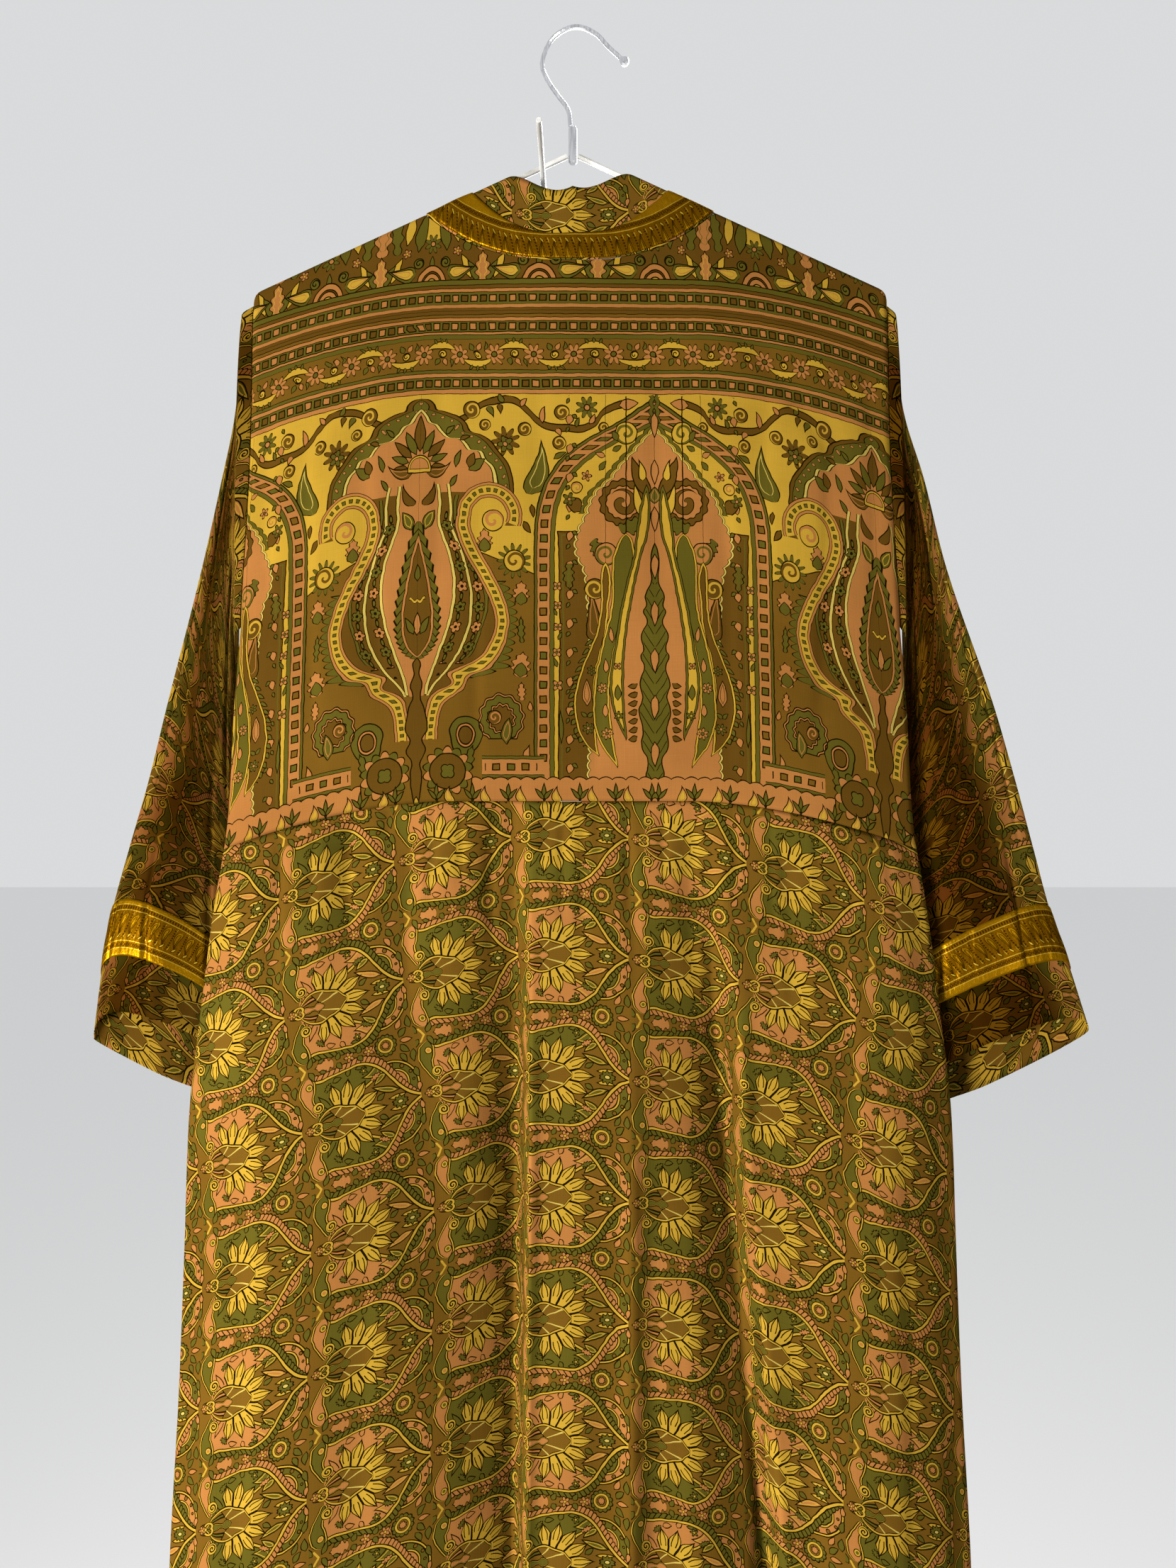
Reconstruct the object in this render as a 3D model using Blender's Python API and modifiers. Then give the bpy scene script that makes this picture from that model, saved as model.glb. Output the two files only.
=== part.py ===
"""A long kimono-cut robe on a wire hanger that rests on a wall peg.

The robe hangs with its back to the viewer and its fronts to the wall. +Z is up, +Y points into the wall, and +X is the
viewer's right. The origin is the peg's root on the wall. Sizes in this file are millimetres, and meshes are in metres.
"""

from collections import namedtuple
from math import cos, degrees, exp, pi, radians, sin, sqrt, tan

import bmesh
import bpy
from mathutils import Vector

MM = 0.001
LEFT, RIGHT = -1, 1

# Cloth
CLOTH = 1.2
TRIM_CLOTH = 0.9
GAP = 0.3
HALF_SEAM = 0.31
FOLD_RADIUS = 4.7
WRAP_ANGLES = (0, 15, 50, 90)

# Hanger and peg
HANG_Y = -30.0
PEG_RADIUS = 2.0
PEG_LENGTH = 99.0
PEG_SIDES = 20
PEG_EDGE = 0.5
PEG_EDGE_STEPS = 2
WIRE_RADIUS = 2.0
ARM_SLOPE = radians(24.7)
JUNCTION_X = 22.2
ARM_OVER_PEG = (PEG_RADIUS + WIRE_RADIUS + GAP) / cos(ARM_SLOPE)
JUNCTION_Z = ARM_OVER_PEG + JUNCTION_X * tan(ARM_SLOPE)
ARM_REACH = 215.0
BAR_Z = -92.0
HANGER_CORNER = 5.0
CORNER_STEPS = 8
NECK_RADIUS = 3.2
NECK_TOP_ROUNDING = (0.9, 1.5)
NECK_FOOT_ROUNDING = (1.0, 1.2)
NECK_SIDES = 16
NECK_BOTTOM = 7.5
NECK_TOP = 35.0
HOOK_RADIUS = 1.7
HOOK_ROUTE = ((20.6, 35.4), (18.8, 47.5), (11.7, 57.5), (3.6, 69.5), (-0.6, 82.0), (5.2, 98.0), (16.0, 107.0),
              (27.5, 109.2), (40.0, 103.6), (48.5, 94.5), (57.5, 86.3))
HOOK_TIP_SWELL = (1.3, 1.9, 2.15, 1.8, 0.8)
HOOK_TIP_STEP = 1.5
HOOK_STEPS = 3

# Numbers of rows and columns
YOKE_SIDE_COLUMNS = 6
YOKE_ROWS = 7
SKIRT_COLUMNS = 25
SKIRT_ROWS = 13
FRONT_COLUMNS = 8
FRONT_ROWS = 13
BAND_COLUMNS = 4
SLEEVE_TURNS = 24
WIRE_SIDES = 2

# Garment
EDGE_STRIP = 12.0
NEAR_ROWS = (12.0, 30.0)
CENTRE_X = 20.4
NECK_HALF = 108.0
NECK_LOW = -71.0
NECK_POWER = 2.6
BAND_TOP_HALF = 48.0
BAND_TOP_DROP = 33.0
BAND_TOP_POWER = 1.8
BAND_TOP_WAVE = 6.0
BAND_SEAM_RISE = 1.4 * GAP
BAND_LINES = 8
BAND_CROWDING = 2.8
BORDER_AT_CENTRE = 0.36
BORDER_AT_SHOULDER = 0.58
BORDER_START = 0.02
BORDER_END_CUT = 0.0015
BORDER_FIRST_DROP = 0.1
TOP_HALF_WIDTH = 235.0
SHOULDER_CORNER = 10.0
ARMHOLE_TOP = -98.0
ARMHOLE_BOTTOM = -336.0
ARMHOLE_HALF_GAP = 8.0
TOP_EASE = 130.0
BACK_SIDE_EASE = 110.0
FRONT_SIDE_EASE = 170.0
SEAM_Z = -465.0
SEAM_DROOP = 30.0
SEAM_FLAT_HALF = 90.0
SEAM_DROOP_REACH = 150.0
SEAM_DROOP_POWER = 1.7
HEM_Z = -1285.0
HEM_DROOP = 22.0
HEM_DROOP_REACH = 300.0
V_DEPTH = 300.0
V_POWER = 1.5
FRONT_SEAM_LOW = 65.0
FRONT_EDGE_LOW = 8.0
SLEEVE_LENGTH = 561.0
CUFF_BORDER_START = 468.0
CUFF_BORDER_END = 514.0

Section = namedtuple("Section", "z half_width back_depth front_depth")
SECTIONS = (
    Section(-60, 235.0, 17, 12), Section(-150, 234.0, 18, 13), Section(-210, 235.0, 18, 13),
    Section(-270, 238.5, 18, 13), Section(-395, 249.0, 19, 13), Section(-481, 254.0, 19, 13),
    Section(-550, 265.0, 21, 14), Section(-622, 274.0, 23, 14), Section(-692, 282.0, 24, 14),
    Section(-800, 286.0, 25, 15), Section(-902, 290.0, 26, 15), Section(-1034, 297.0, 27, 16),
    Section(-1310, 305.0, 29, 16),
)

PAST_HEM = -4000
FOLD_SIDE_EASE = 40.0
Fold = namedtuple("Fold", "u_high u_low z_start z_full z_end depth left right")
SKIRT_FOLDS = (
    Fold(-34, -68, -500, -930, PAST_HEM, 25.0, 62, 26), Fold(100, 120, -468, -700, PAST_HEM, 17.0, 36, 34),
    Fold(48, 50, -600, -850, PAST_HEM, 9.0, 19, 20), Fold(-162, -166, -466, -500, -640, 5.0, 22, 22),
    Fold(-190, -200, -560, -900, PAST_HEM, -7.0, 85, 80), Fold(8, 4, -560, -900, PAST_HEM, -5.0, 34, 34),
    Fold(210, 222, -540, -900, PAST_HEM, -6.0, 60, 60),
)

SleeveRow = namedtuple("SleeveRow", "run top_out top_z under_out under_z half_depth")
SLEEVES = {
    LEFT: (
        SleeveRow(0, 235.5, -98.0, 244.7, -336, 8.0), SleeveRow(4, 239.3, -98.8, 246.0, -337, 8.2),
        SleeveRow(11, 243.5, -104.0, 248.2, -341, 8.2), SleeveRow(70, 249.0, -164.0, 250.2, -362, 8.0),
        SleeveRow(130, 260.0, -222.0, 250.8, -390, 7.5), SleeveRow(200, 275.0, -291.0, 250.8, -425, 7.0),
        SleeveRow(306, 301.0, -394.0, 250.2, -484, 7.0), SleeveRow(366, 315.0, -452.0, 249.6, -520, 7.2),
        SleeveRow(421, 330.0, -505.0, 248.5, -560, 7.6), SleeveRow(468, 342.0, -550.0, 247.0, -605, 8.2),
        SleeveRow(514, 350.0, -596.0, 244.0, -652, 8.6), SleeveRow(561, 356.0, -643.0, 240.0, -700, 9.0),
    ),
    RIGHT: (
        SleeveRow(0, 235.5, -98.0, 244.7, -336, 8.0), SleeveRow(4, 238.8, -98.9, 246.0, -337, 8.2),
        SleeveRow(11, 241.5, -104.5, 248.2, -341, 8.2), SleeveRow(70, 247.5, -166.0, 250.2, -362, 8.0),
        SleeveRow(130, 264.0, -224.0, 250.8, -390, 7.5), SleeveRow(200, 281.0, -292.0, 250.8, -425, 7.0),
        SleeveRow(306, 315.0, -391.0, 250.2, -484, 7.0), SleeveRow(366, 332.0, -450.0, 249.6, -520, 7.2),
        SleeveRow(421, 346.0, -503.0, 248.5, -560, 7.6), SleeveRow(468, 358.0, -548.0, 247.0, -605, 8.2),
        SleeveRow(514, 373.0, -592.0, 244.0, -652, 8.6), SleeveRow(561, 387.0, -636.5, 240.0, -705, 9.0),
    ),
}
# How far each sleeve's near and far hem lie above the straight line between its two folds
SLEEVE_LIFT = {LEFT: (42.0, -6.0), RIGHT: (29.0, -9.0)}
# A soft ridge down the near side, by run along the sleeve and by place between the top fold and the under fold
SLEEVE_RIDGE = 4.0
RIDGE_START = 250.0
RIDGE_GROWTH = 300.0
RIDGE_PLACE = 0.35
RIDGE_SPREAD = 0.16
SLEEVE_BEHIND_Y = -11.0
SLEEVE_BESIDE_Y = -24.0
SLEEVE_BEHIND_INSET = 25.0
SLEEVE_BESIDE_OUTSET = 35.0
SLEEVE_TURN_RUN = 110.0
SLEEVE_HEAD_RUN = 11.0
SLEEVE_SEAM = 0.5

Finish = namedtuple("Finish", "colour roughness metallic")
FINISHES = {
    "print_silk": Finish((0.42, 0.24, 0.07, 1), 0.45, 0.0),
    "gold_border": Finish((0.48, 0.26, 0.05, 1), 0.35, 0.6),
    "white_coating": Finish((0.85, 0.84, 0.80, 1), 0.4, 0.0),
    "chrome": Finish((0.75, 0.75, 0.76, 1), 0.12, 1.0),
    "white_paint": Finish((0.86, 0.86, 0.85, 1), 0.5, 0.0),
}


def clear_scene():
    for obj in list(bpy.data.objects):
        bpy.data.objects.remove(obj, do_unlink=True)


def mix(a, b, t):
    return a + (b - a) * t


def smooth(t):
    t = min(max(t, 0.0), 1.0)
    return t * t * (3.0 - 2.0 * t)


def ease_out(t, power=2.0):
    return 1.0 - (1.0 - min(max(t, 0.0), 1.0)) ** power


def through_rows(rows, key):
    """The row at a value of the table's first column, on a smooth curve through the rows."""
    rising = rows[-1][0] > rows[0][0]
    order = rows if rising else rows[::-1]
    key = min(max(key, order[0][0]), order[-1][0])
    index = max(i for i in range(len(order) - 1) if order[i][0] <= key)
    before, low, high, after = (order[min(max(index + k, 0), len(order) - 1)] for k in (-1, 0, 1, 2))
    span = high[0] - low[0]
    t = (key - low[0]) / span
    values = [key]
    for column in range(1, len(low)):
        slope_low = (high[column] - before[column]) / max(high[0] - before[0], 1e-6)
        slope_high = (after[column] - low[column]) / max(after[0] - low[0], 1e-6)
        values.append(
            low[column] * (1 + 2 * t) * (1 - t) ** 2
            + high[column] * t * t * (3 - 2 * t)
            + span * t * (1 - t) * ((1 - t) * slope_low - t * slope_high)
        )
    return type(low)(*values)


def half_width(z):
    return through_rows(SECTIONS, z).half_width


def ridge_z(u):
    """Top of the cloth that lies on the hanger's arms, at u from the garment's centre line."""
    arm_z = JUNCTION_Z - abs(u + CENTRE_X - JUNCTION_X) * tan(ARM_SLOPE)
    return arm_z + (WIRE_RADIUS + GAP + CLOTH) / cos(ARM_SLOPE)


def shoulder_z(u):
    """The shoulder line: the ridge, rounded down at the shoulder point."""
    past = max(abs(u) - (TOP_HALF_WIDTH - SHOULDER_CORNER), 0.0)
    past = min(past, SHOULDER_CORNER)
    rounding = SHOULDER_CORNER - sqrt(SHOULDER_CORNER**2 - past**2)
    return ridge_z(u) - rounding


def neck_seam_z(u):
    """Height of the seam between the back and the neck band."""
    side = NECK_HALF if u > 0 else -NECK_HALF
    return NECK_LOW + (ridge_z(side) - NECK_LOW) * (abs(u) / NECK_HALF) ** NECK_POWER


def waist_seam_z(u):
    """Height of the seam between the back yoke and the back skirt."""
    return SEAM_Z - SEAM_DROOP * (max(abs(u) - SEAM_FLAT_HALF, 0.0) / SEAM_DROOP_REACH) ** SEAM_DROOP_POWER


def hem_z(u):
    return HEM_Z - HEM_DROOP * (abs(u) / HEM_DROOP_REACH) ** 2


def wrap(distance):
    """How far the cloth stands out, at a distance in from a folded edge."""
    inside = FOLD_RADIUS - min(max(distance, 0.0), FOLD_RADIUS)
    return HALF_SEAM + sqrt(FOLD_RADIUS**2 - inside**2)


def armhole_gap(z):
    """Half the width of the armhole's slit at a height."""
    down = (ARMHOLE_TOP - z) / (ARMHOLE_TOP - ARMHOLE_BOTTOM)
    return ARMHOLE_HALF_GAP * sqrt(max(1.0 - (2.0 * down - 1.0) ** 2, 0.0))


def stand_out(u, z, depth, side_ease):
    """How far a panel stands out from the hanger's plane."""
    inset = half_width(z) - abs(u)
    drop = ridge_z(u) - z
    full_wrap = HALF_SEAM + FOLD_RADIUS
    edge = sqrt(armhole_gap(z) ** 2 + wrap(inset) ** 2) * wrap(drop) / full_wrap
    return edge + (depth - full_wrap) * ease_out(inset / side_ease) * ease_out(drop / TOP_EASE)


def fold_depth(u, z):
    """How far the skirt's folds move the cloth towards the wall."""
    total = 0.0
    for fold in SKIRT_FOLDS:
        middle = mix(fold.u_high, fold.u_low, (SEAM_Z - z) / (SEAM_Z - HEM_Z))
        reach = fold.left if u < middle else fold.right
        across = min(abs(u - middle) / reach, 1.0)
        strength = smooth((fold.z_start - z) / (fold.z_start - fold.z_full))
        strength *= 1.0 - smooth((fold.z_full - z) / (fold.z_full - fold.z_end))
        total += fold.depth * strength * 0.5 * (1.0 + cos(pi * across))
    return total


def back_point(u, z):
    section = through_rows(SECTIONS, z)
    inset = section.half_width - abs(u)
    y = HANG_Y - stand_out(u, z, section.back_depth, BACK_SIDE_EASE)
    y += fold_depth(u, z) * smooth(inset / FOLD_SIDE_EASE)
    return Vector((CENTRE_X + u, y, z))


def front_point(u, z):
    section = through_rows(SECTIONS, z)
    y = HANG_Y + stand_out(u, z, section.front_depth, FRONT_SIDE_EASE)
    return Vector((CENTRE_X + u, y, z))


def neck_band_point(along, across):
    """A point of the back neck band. along is -1 to 1 between the shoulder lines, and across is 0 at the seam."""
    low_u = (NECK_HALF - 2.0 * GAP) * along
    low_z = min(neck_seam_z(NECK_HALF * along) + BAND_SEAM_RISE, ridge_z(low_u))
    top_u = BAND_TOP_HALF * along
    top_drop = BAND_TOP_DROP * (1.0 - abs(along) ** BAND_TOP_POWER) - BAND_TOP_WAVE * sin(pi * along**2)
    top_z = ridge_z(top_u) - max(top_drop, 0.0)
    return back_point(mix(low_u, top_u, across), mix(low_z, top_z, across))


def front_line(drop):
    """u of the front band's seam and free edge at a drop below the shoulder."""
    left = (1.0 - min(drop / V_DEPTH, 1.0)) ** V_POWER
    return mix(FRONT_SEAM_LOW, NECK_HALF, left), mix(FRONT_EDGE_LOW, BAND_TOP_HALF, left)


def front_band_point(side, drop, across):
    """A point of a front band, with across 0 at its seam and 1 at its free edge."""
    seam_u, edge_u = front_line(drop)
    seam_z = ridge_z(side * NECK_HALF) - drop
    rise = ridge_z(side * BAND_TOP_HALF) - ridge_z(side * NECK_HALF)
    edge_z = seam_z + rise * (1.0 - smooth(drop / V_DEPTH))
    u = mix(seam_u - GAP, edge_u, across)
    return front_point(side * u, mix(seam_z, edge_z, across))


def sleeve_point(side, run, turn):
    """A point of a sleeve. run goes from the armhole to the hem, and turn round it from the top fold by the near side."""
    row = through_rows(SLEEVES[side], run)
    down = 0.5 - 0.5 * cos(2.0 * pi * turn)
    bulge = sin(2.0 * pi * turn)
    near_lift, far_lift = SLEEVE_LIFT[side]
    lift = (near_lift if bulge > 0 else far_lift) * abs(bulge) * (run / SLEEVE_LENGTH) ** 2
    z = mix(row.top_z, row.under_z, down) + lift
    body_out = half_width(z)
    out = mix(row.top_out, row.under_out, down)
    out = mix(body_out + SLEEVE_SEAM, out, smooth(run / SLEEVE_HEAD_RUN))
    outset = out - body_out
    beside = smooth((outset + SLEEVE_BEHIND_INSET) / (SLEEVE_BEHIND_INSET + SLEEVE_BESIDE_OUTSET))
    middle = mix(SLEEVE_BEHIND_Y, SLEEVE_BESIDE_Y, beside)
    middle = mix(HANG_Y, middle, smooth(run / SLEEVE_TURN_RUN))
    ridge = 0.0
    if bulge > 0:
        grown = smooth((run - RIDGE_START) / RIDGE_GROWTH)
        ridge = SLEEVE_RIDGE * grown * exp(-(((down - RIDGE_PLACE) / RIDGE_SPREAD) ** 2))
    return Vector((CENTRE_X + side * out, middle - row.half_depth * bulge - ridge, z))


def lifted(surface, a, b, lift, step=0.004):
    """The surface's point at (a, b), moved out along its normal."""
    along = surface(a + step, b) - surface(a - step, b)
    across = surface(a, b + step) - surface(a, b - step)
    return surface(a, b) + along.cross(across).normalized() * lift


def wrap_distances():
    """Distances in from a folded edge at which the cloth is sampled."""
    return [FOLD_RADIUS * (1.0 - cos(radians(angle))) for angle in WRAP_ANGLES]


def band_lines():
    """Places along half of the neck band, close together where it folds over the wire."""
    return [1.0 - (1.0 - j / BAND_LINES) ** BAND_CROWDING for j in range(BAND_LINES + 1)]


def edge_columns(width, places):
    """u of a panel's columns: the fold rows at each side, and the given parts of the half width between."""
    inner = [place * (width - EDGE_STRIP) for place in places]
    half = inner + [width - inset for inset in reversed(wrap_distances())]
    return [-u for u in reversed(half) if u > 0] + half


def widen(u, base, width):
    """u of a column laid out at a half width of base, where the half width is another."""
    inset = base - abs(u)
    if inset < EDGE_STRIP - 0.001:
        return (width - inset) * (1 if u > 0 else -1)
    return u * (width - EDGE_STRIP) / (base - EDGE_STRIP)


def heights(top, bottom, count):
    """Heights of a panel's rows: the fold rows, two near rows, then even rows down to the bottom."""
    near = [top - drop for drop in wrap_distances() + list(NEAR_ROWS)]
    return near + [mix(near[-1], bottom, (k + 1) / count) for k in range(count)]


def material(name):
    found = bpy.data.materials.get(name)
    if found:
        return found
    made = bpy.data.materials.new(name)
    made.use_nodes = True
    shader = made.node_tree.nodes["Principled BSDF"]
    shader.inputs["Base Color"].default_value = FINISHES[name].colour
    shader.inputs["Roughness"].default_value = FINISHES[name].roughness
    shader.inputs["Metallic"].default_value = FINISHES[name].metallic
    made.diffuse_color = FINISHES[name].colour
    return made


def add_object(collection, name, data, finish):
    obj = bpy.data.objects.new(name, data)
    data.materials.append(material(finish))
    collection.objects.link(obj)
    return obj


def add_cloth(collection, name, rows, finish, faces_out, thickness=CLOTH, closed=False, grow=-1.0):
    """A cloth wall from rows of points. faces_out gives the direction that the outer face looks to at a place."""
    form = bmesh.new()
    grid = [[form.verts.new(point * MM) for point in row] for row in rows]
    for upper, lower in zip(grid, grid[1:]):
        count = len(upper)
        for k in range(count if closed else count - 1):
            n = (k + 1) % count
            form.faces.new((upper[k], upper[n], lower[n], lower[k]))
    form.normal_update()
    facing = sum(face.normal.dot(faces_out(face.calc_center_median() / MM)) * face.calc_area() for face in form.faces)
    if facing < 0:
        bmesh.ops.reverse_faces(form, faces=form.faces)
    mesh = bpy.data.meshes.new(name)
    form.to_mesh(mesh)
    form.free()
    mesh.shade_smooth()
    obj = add_object(collection, name, mesh, finish)
    wall = obj.modifiers.new("wall", "SOLIDIFY")
    wall.thickness = thickness * MM
    wall.offset = grow
    wall.use_even_offset = True
    return obj


def towards_viewer(_place):
    return Vector((0.0, -1.0, 0.0))


def towards_wall(_place):
    return Vector((0.0, 1.0, 0.0))


def away_from(middle):
    return lambda place: place - middle


def outward_gap(surface, a, b, faces_out):
    """The gap between two layers, with the sign that lifts a layer off the surface's outer side."""
    normal = lifted(surface, a, b, 1.0) - surface(a, b)
    return GAP if normal.dot(faces_out(surface(a, b))) > 0 else -GAP


def make_back_yoke(collection):
    neck_places = [NECK_HALF * place / (TOP_HALF_WIDTH - EDGE_STRIP) for place in band_lines()]
    side_places = [mix(neck_places[-1], 1.0, (k + 1) / YOKE_SIDE_COLUMNS) for k in range(YOKE_SIDE_COLUMNS)]
    columns = []
    for u in edge_columns(TOP_HALF_WIDTH, neck_places + side_places):
        top = neck_seam_z(u) if abs(u) < NECK_HALF else shoulder_z(u)
        column_heights = heights(top, waist_seam_z(u) + GAP / 2, YOKE_ROWS)
        columns.append([back_point(widen(u, TOP_HALF_WIDTH, half_width(z)), z) for z in column_heights])
    add_cloth(collection, "back_yoke", columns, "print_silk", towards_viewer)


def make_back_skirt(collection):
    seam_width = half_width(SEAM_Z - SEAM_DROOP)
    columns = []
    for u in edge_columns(seam_width, [k / SKIRT_COLUMNS for k in range(SKIRT_COLUMNS + 1)]):
        top = waist_seam_z(u) - GAP / 2
        column_heights = [mix(top, hem_z(u), k / SKIRT_ROWS) for k in range(SKIRT_ROWS + 1)]
        columns.append([back_point(widen(u, seam_width, half_width(z)), z) for z in column_heights])
    add_cloth(collection, "back_skirt", columns, "print_silk", towards_viewer)


def make_front(collection, side, word):
    """A front from its side seam to the band's seam."""
    columns = []
    lines = [(k / FRONT_COLUMNS, EDGE_STRIP) for k in range(FRONT_COLUMNS + 1)]
    lines += [(1.0, inset) for inset in reversed(wrap_distances())]
    for place, inset in lines:
        top_u = mix(NECK_HALF, TOP_HALF_WIDTH - inset, place)
        top = shoulder_z(side * top_u)
        column = []
        for z in heights(top, hem_z(top_u), FRONT_ROWS):
            seam_u = front_line(top - z)[0]
            column.append(front_point(side * mix(seam_u, half_width(z) - inset, place), z))
        columns.append(column)
    add_cloth(collection, "front_" + word, columns, "print_silk", towards_wall)


def make_front_band(collection, side, word):
    drops = [-z for z in heights(0.0, hem_z(FRONT_SEAM_LOW) - ridge_z(side * NECK_HALF), FRONT_ROWS)]
    rows = [[front_band_point(side, drop, k / BAND_COLUMNS) for k in range(BAND_COLUMNS + 1)] for drop in drops]
    add_cloth(collection, "front_band_" + word, rows, "print_silk", towards_wall)

    def surface(drop, across):
        return front_band_point(side, drop, across)

    lift = outward_gap(surface, V_DEPTH, 0.5, towards_wall)
    edges = (BORDER_START, BORDER_AT_SHOULDER / 2, BORDER_AT_SHOULDER)
    drops[0] = BORDER_FIRST_DROP
    rows = [[lifted(surface, drop, across, lift) for across in edges] for drop in drops]
    add_cloth(collection, "front_border_" + word, rows, "gold_border", towards_wall, TRIM_CLOTH, grow=1.0)


def make_neck_band(collection):
    half = band_lines()
    lines = [-place for place in reversed(half[1:])] + half
    rows = [[neck_band_point(line, k / BAND_COLUMNS) for k in range(BAND_COLUMNS + 1)] for line in lines]
    add_cloth(collection, "neck_band", rows, "print_silk", towards_viewer)
    lift = outward_gap(neck_band_point, 0.0, 0.5, towards_viewer)
    lines[0] += BORDER_END_CUT
    lines[-1] -= BORDER_END_CUT
    rows = []
    for line in lines:
        top = mix(BORDER_AT_CENTRE, BORDER_AT_SHOULDER, line**2)
        edges = (BORDER_START, (BORDER_START + top) / 2, top)
        rows.append([lifted(neck_band_point, line, across, lift) for across in edges])
    add_cloth(collection, "neck_border", rows, "gold_border", towards_viewer, TRIM_CLOTH, grow=1.0)


def make_sleeve(collection, side, word):
    turns = [k / SLEEVE_TURNS for k in range(SLEEVE_TURNS)]
    runs = [row.run for row in SLEEVES[side]]
    rows = [[sleeve_point(side, run, turn) for turn in turns] for run in runs]
    points = [point for row in rows for point in row]
    outward = away_from(sum(points, Vector()) / len(points))
    add_cloth(collection, "sleeve_" + word, rows, "print_silk", outward, closed=True)

    def surface(run, turn):
        return sleeve_point(side, run, turn)

    lift = outward_gap(surface, CUFF_BORDER_START, 0.25, towards_viewer)
    rows = [[lifted(surface, run, turn, lift) for turn in turns] for run in (CUFF_BORDER_START, CUFF_BORDER_END)]
    points = [point for row in rows for point in row]
    outward = away_from(sum(points, Vector()) / len(points))
    add_cloth(collection, "cuff_border_" + word, rows, "gold_border", outward, TRIM_CLOTH, closed=True, grow=1.0)


def add_wire(collection, name, points, radius, finish, swells=()):
    curve = bpy.data.curves.new(name, "CURVE")
    curve.dimensions = "3D"
    curve.bevel_depth = radius * MM
    curve.bevel_resolution = WIRE_SIDES
    curve.use_fill_caps = True
    line = curve.splines.new("POLY")
    line.points.add(len(points) - 1)
    for k, (x, z) in enumerate(points):
        line.points[k].co = (x * MM, HANG_Y * MM, z * MM, 1.0)
        line.points[k].radius = 1.0
    for k, swell in enumerate(reversed(swells)):
        line.points[len(points) - 1 - k].radius = swell
    return add_object(collection, name, curve, finish)


def arc(middle, radius, start, end, count):
    angles = [radians(mix(start, end, k / count)) for k in range(count + 1)]
    return [(middle[0] + radius * cos(angle), middle[1] + radius * sin(angle)) for angle in angles]


def make_hanger(collection):
    slope = ARM_SLOPE
    past_neck = NECK_RADIUS + GAP + WIRE_RADIUS * sin(slope)
    start = (past_neck, JUNCTION_Z - past_neck * tan(slope))
    corner_z = BAR_Z + HANGER_CORNER
    arm_end = (JUNCTION_Z - corner_z - HANGER_CORNER / cos(slope)) / tan(slope)
    right = [start] + arc((arm_end, corner_z), HANGER_CORNER, 90.0 - degrees(slope), -90.0, CORNER_STEPS)
    whole = [(JUNCTION_X + x, z) for x, z in right] + [(JUNCTION_X - x, z) for x, z in reversed(right)]
    add_wire(collection, "hanger_frame", whole, WIRE_RADIUS, "white_coating")

    top_in, top_down = NECK_TOP_ROUNDING
    foot_in, foot_up = NECK_FOOT_ROUNDING
    profile = ((0.0, NECK_TOP), (NECK_RADIUS - top_in, NECK_TOP), (NECK_RADIUS, NECK_TOP - top_down),
               (NECK_RADIUS, NECK_BOTTOM + foot_up), (NECK_RADIUS - foot_in, NECK_BOTTOM), (0.0, NECK_BOTTOM))
    mesh = bpy.data.meshes.new("hanger_neck")
    form = bmesh.new()
    spots = [form.verts.new((x * MM, 0.0, (z - NECK_BOTTOM) * MM)) for x, z in profile]
    for upper, lower in zip(spots, spots[1:]):
        form.edges.new((upper, lower))
    form.to_mesh(mesh)
    form.free()
    neck = add_object(collection, "hanger_neck", mesh, "white_coating")
    neck.location = Vector((JUNCTION_X, HANG_Y, NECK_BOTTOM)) * MM
    turn = neck.modifiers.new("turn", "SCREW")
    turn.steps = turn.render_steps = NECK_SIDES
    turn.use_merge_vertices = True
    turn.merge_threshold = 0.00001
    add_wire(collection, "hanger_hook", hook_points(), HOOK_RADIUS, "chrome", HOOK_TIP_SWELL)


def hook_points():
    """The hook's route on a smooth curve through its few points, ending in the rounded tip."""
    rows = [(k, *point) for k, point in enumerate(HOOK_ROUTE)]
    Spot = namedtuple("Spot", "step x z")
    rows = [Spot(*row) for row in rows]
    steps = (len(rows) - 1) * HOOK_STEPS
    points = [through_rows(rows, k / HOOK_STEPS)[1:] for k in range(steps + 1)]
    last, before = Vector(points[-1]), Vector(points[-2])
    ahead = (last - before).normalized()
    return points + [tuple(last + ahead * HOOK_TIP_STEP * k) for k in range(1, len(HOOK_TIP_SWELL) + 1)]


def make_peg(collection):
    bpy.ops.mesh.primitive_cylinder_add(vertices=PEG_SIDES, radius=PEG_RADIUS * MM, depth=PEG_LENGTH * MM)
    peg = bpy.context.object
    peg.name = "wall_peg"
    peg.rotation_euler = (pi / 2, 0.0, 0.0)
    peg.location = (0.0, -PEG_LENGTH / 2 * MM, 0.0)
    peg.data.materials.append(material("white_paint"))
    rounding = peg.modifiers.new("rounding", "BEVEL")
    rounding.width = PEG_EDGE * MM
    rounding.segments = PEG_EDGE_STEPS
    for owner in list(peg.users_collection):
        owner.objects.unlink(peg)
    collection.objects.link(peg)


def main():
    clear_scene()
    robe = bpy.data.collections.new("kimono_robe")
    bpy.context.scene.collection.children.link(robe)
    make_back_yoke(robe)
    make_back_skirt(robe)
    make_neck_band(robe)
    for side, word in ((LEFT, "left"), (RIGHT, "right")):
        make_front(robe, side, word)
        make_front_band(robe, side, word)
        make_sleeve(robe, side, word)
    make_hanger(robe)
    make_peg(robe)


main()
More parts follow.
